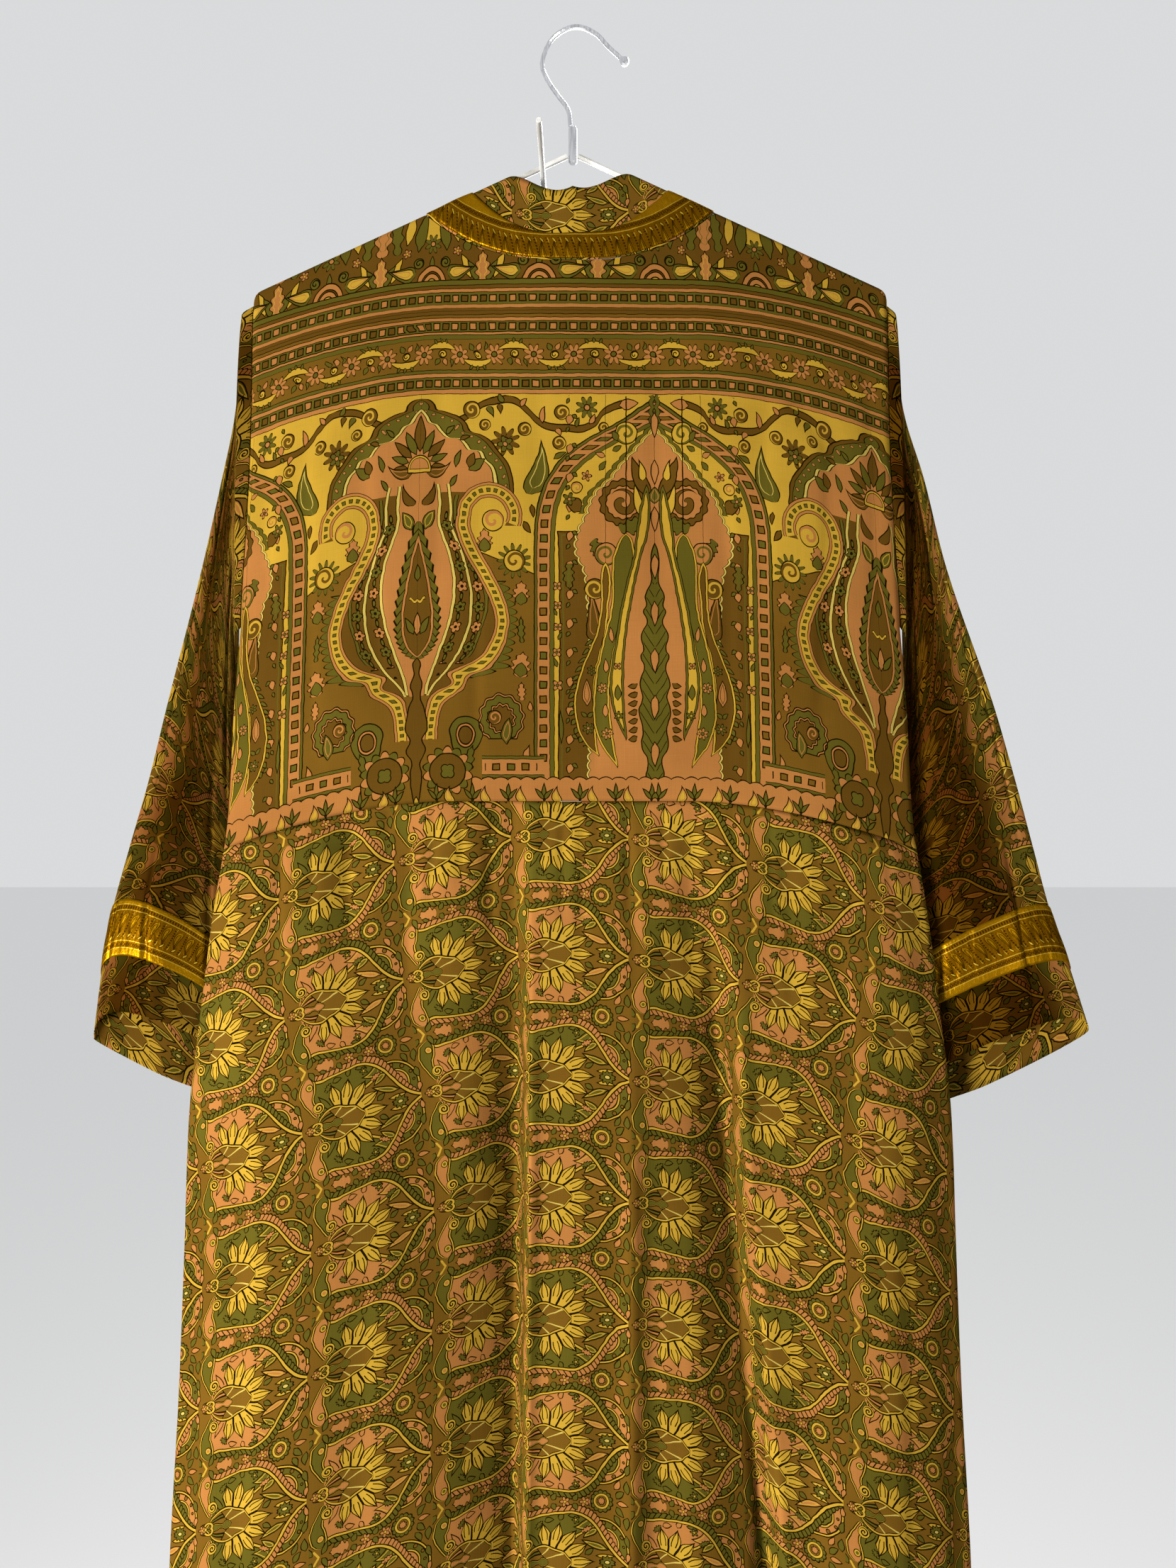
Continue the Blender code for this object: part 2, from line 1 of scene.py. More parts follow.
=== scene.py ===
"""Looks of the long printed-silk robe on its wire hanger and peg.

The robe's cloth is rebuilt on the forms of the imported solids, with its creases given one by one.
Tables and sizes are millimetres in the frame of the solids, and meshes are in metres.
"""

from collections import namedtuple
from functools import partial
from math import cos, pi, radians, sin, tan

import bpy
import numpy as np
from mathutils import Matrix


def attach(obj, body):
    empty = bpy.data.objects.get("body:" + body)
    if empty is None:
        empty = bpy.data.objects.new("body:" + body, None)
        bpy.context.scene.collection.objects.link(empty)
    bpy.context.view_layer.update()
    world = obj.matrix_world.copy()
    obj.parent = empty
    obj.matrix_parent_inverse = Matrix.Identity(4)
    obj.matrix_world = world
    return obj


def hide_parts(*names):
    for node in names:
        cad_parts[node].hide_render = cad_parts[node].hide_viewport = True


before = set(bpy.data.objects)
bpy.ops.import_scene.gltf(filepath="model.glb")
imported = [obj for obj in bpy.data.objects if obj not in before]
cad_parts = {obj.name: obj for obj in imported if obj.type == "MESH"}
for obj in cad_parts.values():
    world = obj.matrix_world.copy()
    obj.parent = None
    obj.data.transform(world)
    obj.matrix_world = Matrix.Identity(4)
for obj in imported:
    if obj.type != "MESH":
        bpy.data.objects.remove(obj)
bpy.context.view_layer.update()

MM = 0.001
LEFT, RIGHT = -1, 1

# The form of the solids
CLOTH = 1.2
SILK = 0.6
GAP = 0.3
HALF_SEAM = 0.31
FOLD_RADIUS = 4.7
HANG_Y = -30.0
PEG_RADIUS = 2.0
WIRE_RADIUS = 2.0
ARM_SLOPE = radians(24.7)
JUNCTION_X = 22.2
JUNCTION_Z = (PEG_RADIUS + WIRE_RADIUS + GAP) / cos(ARM_SLOPE) + JUNCTION_X * tan(ARM_SLOPE)
CENTRE_X = 20.4
NECK_HALF = 108.0
NECK_LOW = -71.0
NECK_POWER = 2.6
BAND_TOP_HALF = 48.0
BAND_TOP_DROP = 33.0
BAND_TOP_WAVE = 6.0
BORDER_AT_CENTRE = 0.36
BORDER_AT_SHOULDER = 0.58
BORDER_START = 0.02
BORDER_SHORTER = 0.0015
TOP_HALF_WIDTH = 235.0
SHOULDER_CORNER = 10.0
ARMHOLE_TOP = -98.0
ARMHOLE_BOTTOM = -336.0
ARMHOLE_HALF_GAP = 8.0
TOP_EASE = 130.0
BACK_SIDE_EASE = 110.0
FRONT_SIDE_EASE = 170.0
SEAM_Z = -465.0
SEAM_DROOP = 30.0
SEAM_FLAT_HALF = 90.0
SEAM_DROOP_REACH = 150.0
HEM_Z = -1285.0
HEM_DROOP = 22.0
HEM_DROOP_REACH = 300.0
V_DEPTH = 300.0
FRONT_SEAM_LOW = 65.0
FRONT_EDGE_LOW = 8.0
SLEEVE_LENGTH = 561.0
CUFF_START = 468.0
CUFF_END = 514.0

# The grids of the cloth
GOLD = 0.5
HALF_SEAM_GAP = 0.08
# How far from an edge the columns follow it, and from where a panel's rows are even
EDGE_STRIP = FOLD_RADIUS * 1.4
EDGE_ROWS_END = FOLD_RADIUS * 1.3
EVEN_START = 7
# The yoke's rows follow its top edge to this depth, spaced for a yoke of this length
YOKE_TOP_BLEND = 14
YOKE_ROWS_LENGTH = 400
FRONT_ROWS_LENGTH = 1230
FRONT_START = 60
NECK_HALF_COLUMNS = 60
NECK_CROWDING = 2.2
NECK_GOLD_ROWS = 15
SLEEVE_COLUMNS = 150


def table(kind, *rows):
    """Rows of numbers, each with its kind's names."""
    return [kind(*row) for row in rows]


Section = namedtuple("Section", "z half_width back_depth front_depth")
SECTIONS = table(Section,
    (-60, 235, 17, 12), (-150, 234, 18, 13), (-210, 235, 18, 13), (-270, 238.5, 18, 13), (-395, 249, 19, 13),
    (-481, 254, 19, 13), (-550, 265, 21, 14), (-622, 274, 23, 14), (-692, 282, 24, 14), (-800, 286, 25, 15),
    (-902, 290, 26, 15), (-1034, 297, 27, 16), (-1310, 305, 29, 16),
)

FOLD_SLOPE = 1.7
STEEP_REACH = 3.0
Fold = namedtuple("Fold", "u_high u_low z_start z_full z_end depth left right")
SKIRT_FOLDS = table(Fold,
    (-39, -45, -430, -800, -4000, 34, 102, 13), (92, 165, -440, -720, -4000, 26, 60, 16),
    (62, 64, -560, -850, -4000, 4.5, 15, 30), (-162, -166, -466, -500, -640, 5, 22, 22),
    (-190, -200, -560, -900, -4000, -7, 85, 80), (8, 4, -560, -900, -4000, -2.5, 34, 34),
    (210, 222, -540, -900, -4000, -6, 60, 60),
)

SleeveRow = namedtuple("SleeveRow", "run top_out top_z under_out under_z half_depth")
SLEEVES = {
    LEFT: table(SleeveRow,
        (0, 235.5, -98, 244.7, -336, 8), (4, 239.3, -98.8, 246, -337, 8.2),
        (11, 243.5, -104, 248.2, -341, 8.2), (70, 249, -164, 250.2, -362, 8),
        (130, 260, -222, 250.8, -390, 7.5), (200, 275, -291, 250.8, -425, 7),
        (306, 301, -394, 250.2, -484, 7), (366, 315, -452, 249.6, -520, 7.2),
        (421, 330, -505, 248.5, -560, 7.6), (468, 342, -550, 247, -605, 8.2),
        (514, 350, -596, 244, -652, 8.6), (561, 356, -643, 240, -700, 9),
    ),
    RIGHT: table(SleeveRow,
        (0, 235.5, -98, 244.7, -336, 8), (4, 238.8, -98.9, 246, -337, 8.2),
        (11, 241.5, -104.5, 248.2, -341, 8.2), (70, 247.5, -166, 250.2, -362, 8),
        (130, 264, -224, 250.8, -390, 7.5), (200, 281, -292, 250.8, -425, 7),
        (306, 315, -391, 250.2, -484, 7), (366, 332, -450, 249.6, -520, 7.2),
        (421, 346, -503, 248.5, -560, 7.6), (468, 358, -548, 247, -605, 8.2),
        (514, 373, -592, 244, -652, 8.6), (561, 387, -636.5, 240, -705, 9),
    ),
}
SLEEVE_LIFT = {LEFT: (42.0, -6.0), RIGHT: (29.0, -9.0)}
SLEEVE_RIDGE = 4.0
SLEEVE_BEHIND_Y = -11.0
SLEEVE_BESIDE_Y = -24.0
SLEEVE_BEHIND_INSET = 25.0
SLEEVE_BESIDE_OUTSET = 35.0
SLEEVE_TURN_RUN = 110.0
SLEEVE_HEAD_RUN = 11.0
SLEEVE_SEAM = 0.5

# Creases, each along a bowed line from (a0, b0) to (a1, b1)
# A positive depth goes in, and lean makes one side steeper
Crease = namedtuple("Crease", "a0 b0 a1 b1 bow width depth lean")
YOKE_CREASES = table(Crease,
    (-150, -120, -128, -420, 8, 9, 1.3, 0.3), (-96, -140, -104, -360, -5, 7, 0.9, -0.2),
    (-62, -230, -66, -470, 4, 6, 1.2, 0.2), (-20, -110, -14, -330, 5, 8, 0.8, 0),
    (22, -240, 16, -470, -4, 6, 1, 0.3), (64, -120, 74, -410, 6, 9, 1, -0.3),
    (106, -200, 112, -470, -6, 7, 1.3, 0.2), (150, -110, 140, -390, 7, 10, 1.2, 0.3),
    (186, -150, 176, -460, -6, 8, 1.4, -0.3), (-190, -170, -182, -470, 6, 9, 1.5, 0.3),
    (-216, -130, -222, -340, 5, 7, 1.3, 0.2), (214, -120, 222, -360, -5, 7, 1.4, -0.2),
    (-90, -100, -210, -250, 14, 10, 1.2, 0.4), (92, -98, 214, -262, -12, 10, 1.1, -0.4),
    (-70, -90, 60, -96, 3, 5, 0.5, 0), (40, -150, 130, -172, 4, 9, 0.5, 0),
)
SKIRT_CREASES = table(Crease,
    (-152, -250, -90, -900, 0, 28, 5.5, 0.2), (-42, -250, -46, -900, 0, 14, 5, 0.4),
    (-213, -250, -298, -1700, 0, 34, -3.5, 0), (213, -250, 298, -1700, 0, 34, -6, 0),
    (-55, -464, -60, -560, 2, 4, 1.7, 0.3), (8, -464, 6, -590, -2, 4, 1.6, -0.3),
    (86, -466, 90, -600, 3, 4.5, 1.8, 0.3), (-110, -466, -118, -640, 4, 6, 1.2, 0.2),
    (-206, -482, -216, -700, 5, 8, 1.6, 0.3), (150, -472, 160, -640, -4, 7, 1.4, -0.3),
    (196, -480, 214, -760, 6, 9, 1.6, 0.3), (-20, -480, -24, -660, 3, 7, 1.1, 0.2),
    (40, -470, 46, -620, -3, 5, 1.2, 0.2), (-140, -700, -152, -1290, 8, 16, 2, 0.3),
    (-238, -620, -250, -1290, -6, 12, 2.4, 0.4), (82, -700, 86, -1290, 4, 10, 1.4, -0.3),
    (160, -760, 176, -1290, -6, 15, 2.2, 0.3), (244, -640, 262, -1290, 5, 11, 2.6, -0.3),
    (24, -820, 22, -1290, 3, 12, 1.5, 0), (-26, -520, -36, -1400, 0, 7, -3.4, 0.3),
    (45, -560, 45, -1400, 0, 6, -3.6, 0.2), (124, -500, 138, -1400, 0, 7, -3, 0.3),
)
# Short gathers just under the waist seam
GATHERS = table(Crease,
    (-232, -486, -236, -540, 1, 3, 1, 0.2), (-212, -480, -215, -560, -2, 3.6, 1.3, 0.2),
    (-184, -474, -188, -530, 1, 3, 0.9, -0.2), (-158, -466, -160, -572, 2, 4, 1.5, 0.3),
    (-131, -462, -133, -520, 1, 2.8, 0.9, 0.2), (-101, -460, -104, -548, -2, 3.4, 1.2, -0.3),
    (-76, -460, -79, -530, 1, 2.8, 1.3, 0.2), (-52, -460, -56, -590, 2, 3.6, 1.9, 0.3),
    (-30, -460, -31, -525, -1, 2.6, 1, 0.2), (-4, -460, -6, -560, 1, 3.2, 1.3, -0.2),
    (22, -460, 21, -520, 1, 2.6, 0.9, 0.3), (41, -460, 42, -560, -1, 3, 1.4, 0.2),
    (68, -460, 71, -535, 1, 2.8, 1.1, 0.2), (90, -460, 92, -600, 2, 3.6, 1.9, -0.3),
    (117, -462, 121, -540, -1, 3, 1.2, 0.2), (146, -465, 150, -570, 2, 3.6, 1.3, 0.2),
    (176, -472, 181, -530, -1, 3, 0.9, -0.2), (203, -479, 209, -570, 2, 3.4, 1.4, 0.3),
    (230, -486, 235, -545, -1, 3, 1, 0.2),
)
FRONT_CREASES = table(Crease,
    (200, -130, 188, -520, 8, 9, 1.4, 0.3), (150, -110, 158, -620, -7, 10, 1.2, -0.3),
    (212, -420, 226, -980, 8, 14, 2.2, 0.3), (120, -300, 112, -820, -6, 12, 1.8, 0.3),
    (168, -560, 178, -1290, 9, 17, 2.8, 0.4), (100, -700, 94, -1290, 5, 14, 2.4, -0.3),
    (244, -760, 258, -1290, -6, 13, 2.6, 0.3), (132, -880, 140, -1290, 6, 12, 1.9, 0.2),
)
# On a sleeve, a is the run from the armhole
# b is the turn around it in hundredths, from the top fold by the near side
SLEEVE_CREASES = {
    LEFT: table(Crease,
        (20, 8, 250, 20, 4, 2.4, 1.9, 0.3), (60, 24, 330, 38, -4, 2.6, 2, -0.3),
        (160, 8, 420, 14, 3, 2, 1.7, 0.3), (260, 30, 561, 34, -3, 2.2, 1.6, 0.2),
        (400, 18, 580, 22, 1, 1.5, 2.6, 0.4), (430, 8, 580, 9, 1, 1.6, 1.5, -0.3),
        (30, 60, 300, 74, 4, 2.6, 2, 0.3), (180, 84, 520, 90, -3, 2.4, 1.8, -0.3),
        (340, 62, 580, 66, 2, 2.2, 2, 0.3),
    ),
    RIGHT: table(Crease,
        (20, 9, 230, 22, 4, 2.4, 1.8, 0.3), (80, 26, 360, 36, -4, 2.6, 2.1, -0.3),
        (180, 10, 440, 12, 3, 2, 1.5, 0.3), (240, 24, 561, 28, -2, 2, 1.5, 0.2),
        (390, 16, 580, 19, 1, 1.5, 2.8, 0.4), (440, 32, 580, 36, 1, 1.8, 1.5, -0.3),
        (30, 62, 320, 78, 4, 2.6, 2, 0.3), (200, 88, 540, 92, -3, 2.4, 1.7, -0.3),
        (330, 66, 580, 70, 2, 2.2, 2.1, 0.3),
    ),
}


def mix(a, b, t):
    return a + (b - a) * t


def smooth(t):
    t = np.clip(t, 0, 1)
    return t * t * (3 - 2 * t)


def ease_out(t, power=2):
    return 1 - (1 - np.clip(t, 0, 1)) ** power


def through_rows(rows, key):
    """The rows' columns at the given values of the first one, on a smooth curve through the rows."""
    values = np.array(rows, float)
    if values[-1, 0] < values[0, 0]:
        values = values[::-1]
    start = values[:, 0]
    last = len(start) - 1
    key = np.clip(np.asarray(key, float), start[0], start[-1])
    low = np.clip(np.searchsorted(start, key, side="right") - 1, 0, last - 1)
    before, high, after = np.maximum(low - 1, 0), low + 1, np.minimum(low + 2, last)
    span = start[high] - start[low]
    t = (key - start[low]) / span
    columns = [key]
    for value in values.T[1:]:
        slope_low = (value[high] - value[before]) / np.maximum(start[high] - start[before], 1e-6)
        slope_high = (value[after] - value[low]) / np.maximum(start[after] - start[low], 1e-6)
        columns.append(
            value[low] * (1 + 2 * t) * (1 - t) ** 2
            + value[high] * t * t * (3 - 2 * t)
            + span * t * (1 - t) * ((1 - t) * slope_low - t * slope_high)
        )
    return type(rows[0])(*columns)


def half_width(z):
    return through_rows(SECTIONS, z).half_width


def ridge_z(u):
    """Top of the cloth that lies on the hanger's arms, at u from the garment's centre line."""
    arm_z = JUNCTION_Z - abs(u + CENTRE_X - JUNCTION_X) * tan(ARM_SLOPE)
    return arm_z + (WIRE_RADIUS + GAP + CLOTH) / cos(ARM_SLOPE)


def shoulder_z(u):
    past = np.clip(abs(u) - (TOP_HALF_WIDTH - SHOULDER_CORNER), 0, SHOULDER_CORNER)
    return ridge_z(u) - (SHOULDER_CORNER - np.sqrt(SHOULDER_CORNER**2 - past**2))


def neck_seam_z(u):
    side = np.where(u > 0, NECK_HALF, -NECK_HALF)
    return NECK_LOW + (ridge_z(side) - NECK_LOW) * (abs(u) / NECK_HALF) ** NECK_POWER


def yoke_droop(u):
    return SEAM_DROOP * (np.maximum(abs(u) - SEAM_FLAT_HALF, 0) / SEAM_DROOP_REACH) ** 1.7


def waist_seam_z(u):
    return SEAM_Z - yoke_droop(u)


def hem_z(u):
    return HEM_Z - HEM_DROOP * (abs(u) / HEM_DROOP_REACH) ** 2


def wrap(distance):
    inside = FOLD_RADIUS - np.clip(distance, 0, FOLD_RADIUS)
    return HALF_SEAM + np.sqrt(FOLD_RADIUS**2 - inside**2)


def armhole_gap(z):
    down = (ARMHOLE_TOP - z) / (ARMHOLE_TOP - ARMHOLE_BOTTOM)
    return ARMHOLE_HALF_GAP * np.sqrt(np.maximum(1 - (2 * down - 1) ** 2, 0))


def stand_out(u, z, depth, side_ease):
    inset = half_width(z) - abs(u)
    drop = ridge_z(u) - z
    full_wrap = HALF_SEAM + FOLD_RADIUS
    edge = np.sqrt(armhole_gap(z) ** 2 + wrap(inset) ** 2) * wrap(drop) / full_wrap
    return edge + (depth - full_wrap) * ease_out(inset / side_ease) * ease_out(drop / TOP_EASE)


def fold_depth(u, z):
    total = 0
    for fold in SKIRT_FOLDS:
        middle = mix(fold.u_high, fold.u_low, (SEAM_Z - z) / (SEAM_Z - HEM_Z))
        reach = np.where(u < middle, fold.left, fold.right)
        across = np.minimum(abs(u - middle) / reach, 1)
        slope = np.where(u < middle, (1 - across) ** FOLD_SLOPE, 0.5 * (1 + np.cos(pi * across)))
        steep = slope if fold.left > STEEP_REACH * fold.right else 0.5 * (1 + np.cos(pi * across))
        strength = smooth((fold.z_start - z) / (fold.z_start - fold.z_full))
        strength = strength * (1 - smooth((fold.z_full - z) / (fold.z_full - fold.z_end)))
        total = total + fold.depth * strength * steep
    return total


def creases(rows, a, b, b_scale=1):
    """Depth of the placed creases at (a, b)."""
    total = np.zeros(np.broadcast(a, b).shape)
    for row in rows:
        along_a, along_b = row.a1 - row.a0, (row.b1 - row.b0) * b_scale
        length = (along_a**2 + along_b**2) ** 0.5
        from_a, from_b = a - row.a0, (b - row.b0) * b_scale
        t = (from_a * along_a + from_b * along_b) / length**2
        off = (from_a * along_b - from_b * along_a) / length - row.bow * 4 * t * (1 - t)
        width = row.width * np.where(off > 0, 1 + row.lean, 1 - row.lean)
        ends = smooth(t / 0.3) * smooth((1 - t) / 0.3)
        total = total + row.depth * np.exp(-((off / width) ** 2)) * ends
    return total


def ripple(a, b, size):
    """Low uneven waves, which no cloth is without."""
    waves = np.sin(a / 31 + 1.3 * np.sin(b / 97)) + 0.7 * np.sin(a / 17.3 + b / 61 + 1.1)
    waves = waves + 0.6 * np.sin(a / 53 - b / 43 + 2.3) + 0.35 * np.sin(a / 11.7 - b / 83 + 0.4)
    return size * waves / 2.65


def at(u, y, z):
    return np.stack(np.broadcast_arrays(CENTRE_X + u, y, z), axis=-1)


def back_plain(u, z):
    section = through_rows(SECTIONS, z)
    inset = section.half_width - abs(u)
    y = HANG_Y - stand_out(u, z, section.back_depth, BACK_SIDE_EASE)
    return y + fold_depth(u, z) * smooth(inset / 40), inset


def back_point(u, z):
    return at(u, back_plain(u, z)[0], z)


def seam_tuck(u, z, inset):
    """The seam draws the cloth in a little along its line."""
    return np.exp(-(((z - waist_seam_z(u)) / 1.8) ** 2)) * smooth(inset / 30)


def yoke_point(u, z):
    """The back above the waist seam, with its creases."""
    y, inset = back_plain(u, z)
    keep = smooth(inset / 26) * smooth((ridge_z(u) - z) / 34) * smooth((z - waist_seam_z(u)) / 30 + 0.15)
    relief = creases(YOKE_CREASES, u, z) + ripple(u, z, 0.7)
    return at(u, y + relief * keep + seam_tuck(u, z, inset), z)


def skirt_point(u, z):
    """The back below the waist seam, with its creases and the gathers under the seam."""
    y, inset = back_plain(u, z)
    below = waist_seam_z(u) - z
    keep = smooth(inset / 26)
    relief = creases(SKIRT_CREASES, u, z) * smooth(below / 9) + ripple(u, z, 0.9) * smooth(below / 60)
    gathers = creases(GATHERS, u, z) * smooth(below / 3)
    return at(u, y + (relief + gathers) * keep + seam_tuck(u, z, inset), z)


def front_plain(u, z):
    section = through_rows(SECTIONS, z)
    return HANG_Y + stand_out(u, z, section.front_depth, FRONT_SIDE_EASE)


def front_point(u, z):
    return at(u, front_plain(u, z), z)


def front_cloth_point(side, u, z, from_band):
    """A front panel, with its creases kept off its edges and its band."""
    inset = half_width(z) - abs(u)
    keep = smooth(inset / 26) * smooth(from_band / 20) * smooth((ridge_z(u) - z) / 34)
    shift = 14 if side == LEFT else 0
    relief = creases(FRONT_CREASES, abs(u) + shift, z) + ripple(side * u, z, 0.8)
    return at(u, front_plain(u, z) - relief * keep, z)


def neck_band_point(along, across):
    low_u = (NECK_HALF - 2 * GAP) * along
    low_z = np.minimum(neck_seam_z(NECK_HALF * along) + 1.4 * GAP, ridge_z(low_u))
    top_u = BAND_TOP_HALF * along
    top_drop = BAND_TOP_DROP * (1 - abs(along) ** 1.8) - BAND_TOP_WAVE * np.sin(pi * along**2)
    top_z = ridge_z(top_u) - np.maximum(top_drop, 0)
    return back_point(mix(low_u, top_u, across), mix(low_z, top_z, across))


def front_line(drop):
    left = (1 - np.minimum(drop / V_DEPTH, 1)) ** 1.5
    return mix(FRONT_SEAM_LOW, NECK_HALF, left), mix(FRONT_EDGE_LOW, BAND_TOP_HALF, left)


def front_band_point(side, drop, across):
    seam_u, edge_u = front_line(drop)
    seam_z = ridge_z(side * NECK_HALF) - drop
    rise = ridge_z(side * BAND_TOP_HALF) - ridge_z(side * NECK_HALF)
    edge_z = seam_z + rise * (1 - smooth(drop / V_DEPTH))
    u = mix(seam_u - GAP, edge_u, across)
    return front_point(side * u, mix(seam_z, edge_z, across))


def sleeve_point(side, run, turn):
    row = through_rows(SLEEVES[side], run)
    down = 0.5 - 0.5 * np.cos(2 * pi * turn)
    bulge = np.sin(2 * pi * turn)
    near_lift, far_lift = SLEEVE_LIFT[side]
    lift = np.where(bulge > 0, near_lift, far_lift) * abs(bulge) * (run / SLEEVE_LENGTH) ** 2
    z = mix(row.top_z, row.under_z, down) + lift
    body_out = half_width(z)
    out = mix(row.top_out, row.under_out, down)
    out = mix(body_out + SLEEVE_SEAM, out, smooth(run / SLEEVE_HEAD_RUN))
    outset = out - body_out
    beside = smooth((outset + SLEEVE_BEHIND_INSET) / (SLEEVE_BEHIND_INSET + SLEEVE_BESIDE_OUTSET))
    middle = mix(SLEEVE_BEHIND_Y, SLEEVE_BESIDE_Y, beside)
    middle = mix(HANG_Y, middle, smooth(run / SLEEVE_TURN_RUN))
    ridge = SLEEVE_RIDGE * smooth((run - 250) / 300) * np.exp(-(((down - 0.35) / 0.16) ** 2))
    y = middle - row.half_depth * bulge - np.where(bulge > 0, ridge, 0)
    deep = creases(SLEEVE_CREASES[side], run, turn * 100, 3) + ripple(run, turn * 300, 0.5)
    y = y + np.sign(bulge) * deep * smooth(abs(bulge) / 0.45) * smooth(run / 40)
    return at(side * out, y, z)


def grid_lengths(points, axis):
    """Distances along the cloth from the grid's first line."""
    steps = np.linalg.norm(np.diff(points, axis=axis), axis=-1)
    start = np.zeros_like(np.take(steps, [0], axis=axis))
    return np.concatenate([start, np.cumsum(steps, axis=axis)], axis=axis)


def grid_faces(rows, columns, closed):
    index = np.arange(rows * columns).reshape(rows, columns)
    right = np.roll(index, -1, axis=1) if closed else index[:, 1:]
    left = index if closed else index[:, :-1]
    return np.stack([left[:-1], right[:-1], right[1:], left[1:]], axis=-1).reshape(-1, 4)


def add_cloth(name, points, flat, node, finish, outward, thickness=SILK, closed=False, grow=-1):
    """A thin cloth piece on a grid of points. flat gives each point's place on the flat cloth, for its UV."""
    rows, columns = points.shape[:2]
    corners = points.reshape(-1, 3) * MM
    faces = grid_faces(rows, columns, closed)
    across = grid_faces(rows, columns + 1, False) if closed else faces
    quads = corners[faces]
    normals = np.cross(quads[:, 2] - quads[:, 0], quads[:, 3] - quads[:, 1])
    looks = outward if outward is not None else quads.mean(axis=1) - corners.mean(axis=0)
    if (normals * looks).sum() < 0:
        faces, across = faces[:, ::-1], across[:, ::-1]
    mesh = bpy.data.meshes.new(name)
    mesh.from_pydata(corners.tolist(), [], faces.tolist())
    layer = mesh.uv_layers.new(name="flat")
    flat_corners = (flat.reshape(-1, 2) * MM)[across.reshape(-1)]
    layer.data.foreach_set("uv", flat_corners.reshape(-1).astype(np.float32))
    mesh.shade_smooth()
    obj = bpy.data.objects.new(name, mesh)
    bpy.context.scene.collection.objects.link(obj)
    mesh.materials.append(finish)
    wall = obj.modifiers.new("wall", "SOLIDIFY")
    wall.thickness = thickness * MM
    wall.offset = grow
    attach(obj, "root")
    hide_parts(node)
    return obj


def spread(count, start=0, end=1):
    return np.linspace(start, end, count)


def round_fold(count, first, last):
    """Distances in from an edge, crowded where the cloth wraps round its fold from one angle to another."""
    return FOLD_RADIUS * (1 - np.cos(np.radians(spread(count, first, last))))


def panel_columns(count, base):
    """Signed u of a full panel's columns at a half width of base, crowded at its folded edges."""
    wrapped = round_fold(9, 90, 0)
    inner = spread(count, EDGE_STRIP - base, base - EDGE_STRIP)
    return np.concatenate([-(base - wrapped[::-1]), inner, base - wrapped])


def widen(u, base, width):
    """u of a column laid out at a half width of base, where the half width is another."""
    inset = base - abs(u)
    edge = (width - inset) * np.sign(u)
    return np.where(inset < EDGE_STRIP, edge, u * (width - EDGE_STRIP) / (base - EDGE_STRIP))


def centred(lengths, u):
    """Lengths along rows, measured from the column nearest to u = 0."""
    middle = np.argmin(abs(u), axis=-1)
    return lengths - np.take_along_axis(lengths, middle[..., None], axis=-1)


def joined_round(grid):
    """The grid of a closed tube, with its first column once more at its end."""
    return np.concatenate([grid, grid[:, :1]], axis=1)


TOWARDS_VIEWER = np.array([0, -1, 0])
TOWARDS_WALL = np.array([0, 1, 0])


def skirt_droop(u):
    return 45 * (abs(u) / 200) ** 1.6


def seam_under(base, base_width):
    """Height of the waist seam at the columns laid out at a half width of base_width."""
    z = waist_seam_z(base)
    for _ in range(4):
        z = waist_seam_z(widen(base, base_width, half_width(z)))
    return z


def make_back_yoke(finishes):
    base = panel_columns(190, TOP_HALF_WIDTH)
    top = np.where(abs(base) < NECK_HALF, neck_seam_z(base), shoulder_z(base))
    low = seam_under(base, TOP_HALF_WIDTH) + HALF_SEAM_GAP
    drop = np.concatenate([round_fold(10, 0, 90), spread(140, EDGE_ROWS_END, YOKE_ROWS_LENGTH)])[:, None]
    z = mix(top[None, :], low[None, :], drop / YOKE_ROWS_LENGTH)
    near = np.minimum(top[None, :] - drop, 0)
    z = np.where(drop < YOKE_TOP_BLEND, mix(near, z, smooth(drop / YOKE_TOP_BLEND)), z)
    u = widen(np.broadcast_to(base, z.shape), TOP_HALF_WIDTH, half_width(z))
    points = yoke_point(u, z)
    across = centred(grid_lengths(points, 1), u)
    flat = np.stack([across, z + yoke_droop(u)], axis=-1)
    obj = add_cloth("back_yoke_silk", points, flat, "back_yoke", finishes[0], TOWARDS_VIEWER)
    for finish in finishes[1:]:
        obj.data.materials.append(finish)
    middles = (flat[:-1, :-1] + flat[1:, 1:]) / 2
    from_lobed = abs((middles[..., 0] - LOBED_AXIS + ARCH_STEP) % (2 * ARCH_STEP) - ARCH_STEP)
    kind = np.where(middles[..., 1] > LOWER_STRIPES[-1][0] - 0.6, 0, np.where(from_lobed < ARCH_BORDER, 1, 2))
    obj.data.polygons.foreach_set("material_index", kind.reshape(-1).astype(np.int32))


def make_back_skirt(finish):
    base_width = float(half_width(SEAM_Z - SEAM_DROOP))
    base = panel_columns(200, base_width)
    top = seam_under(base, base_width) - HALF_SEAM_GAP
    low = hem_z(base)
    z = mix(top[None, :], low[None, :], (spread(190) ** 1.06)[:, None])
    u = widen(np.broadcast_to(base, z.shape), base_width, half_width(z))
    points = skirt_point(u, z)
    across = centred(grid_lengths(points, 1), u)
    flat = np.stack([across, z + skirt_droop(u)], axis=-1)
    obj = add_cloth("back_skirt_silk", points, flat, "back_skirt", finish, TOWARDS_VIEWER)


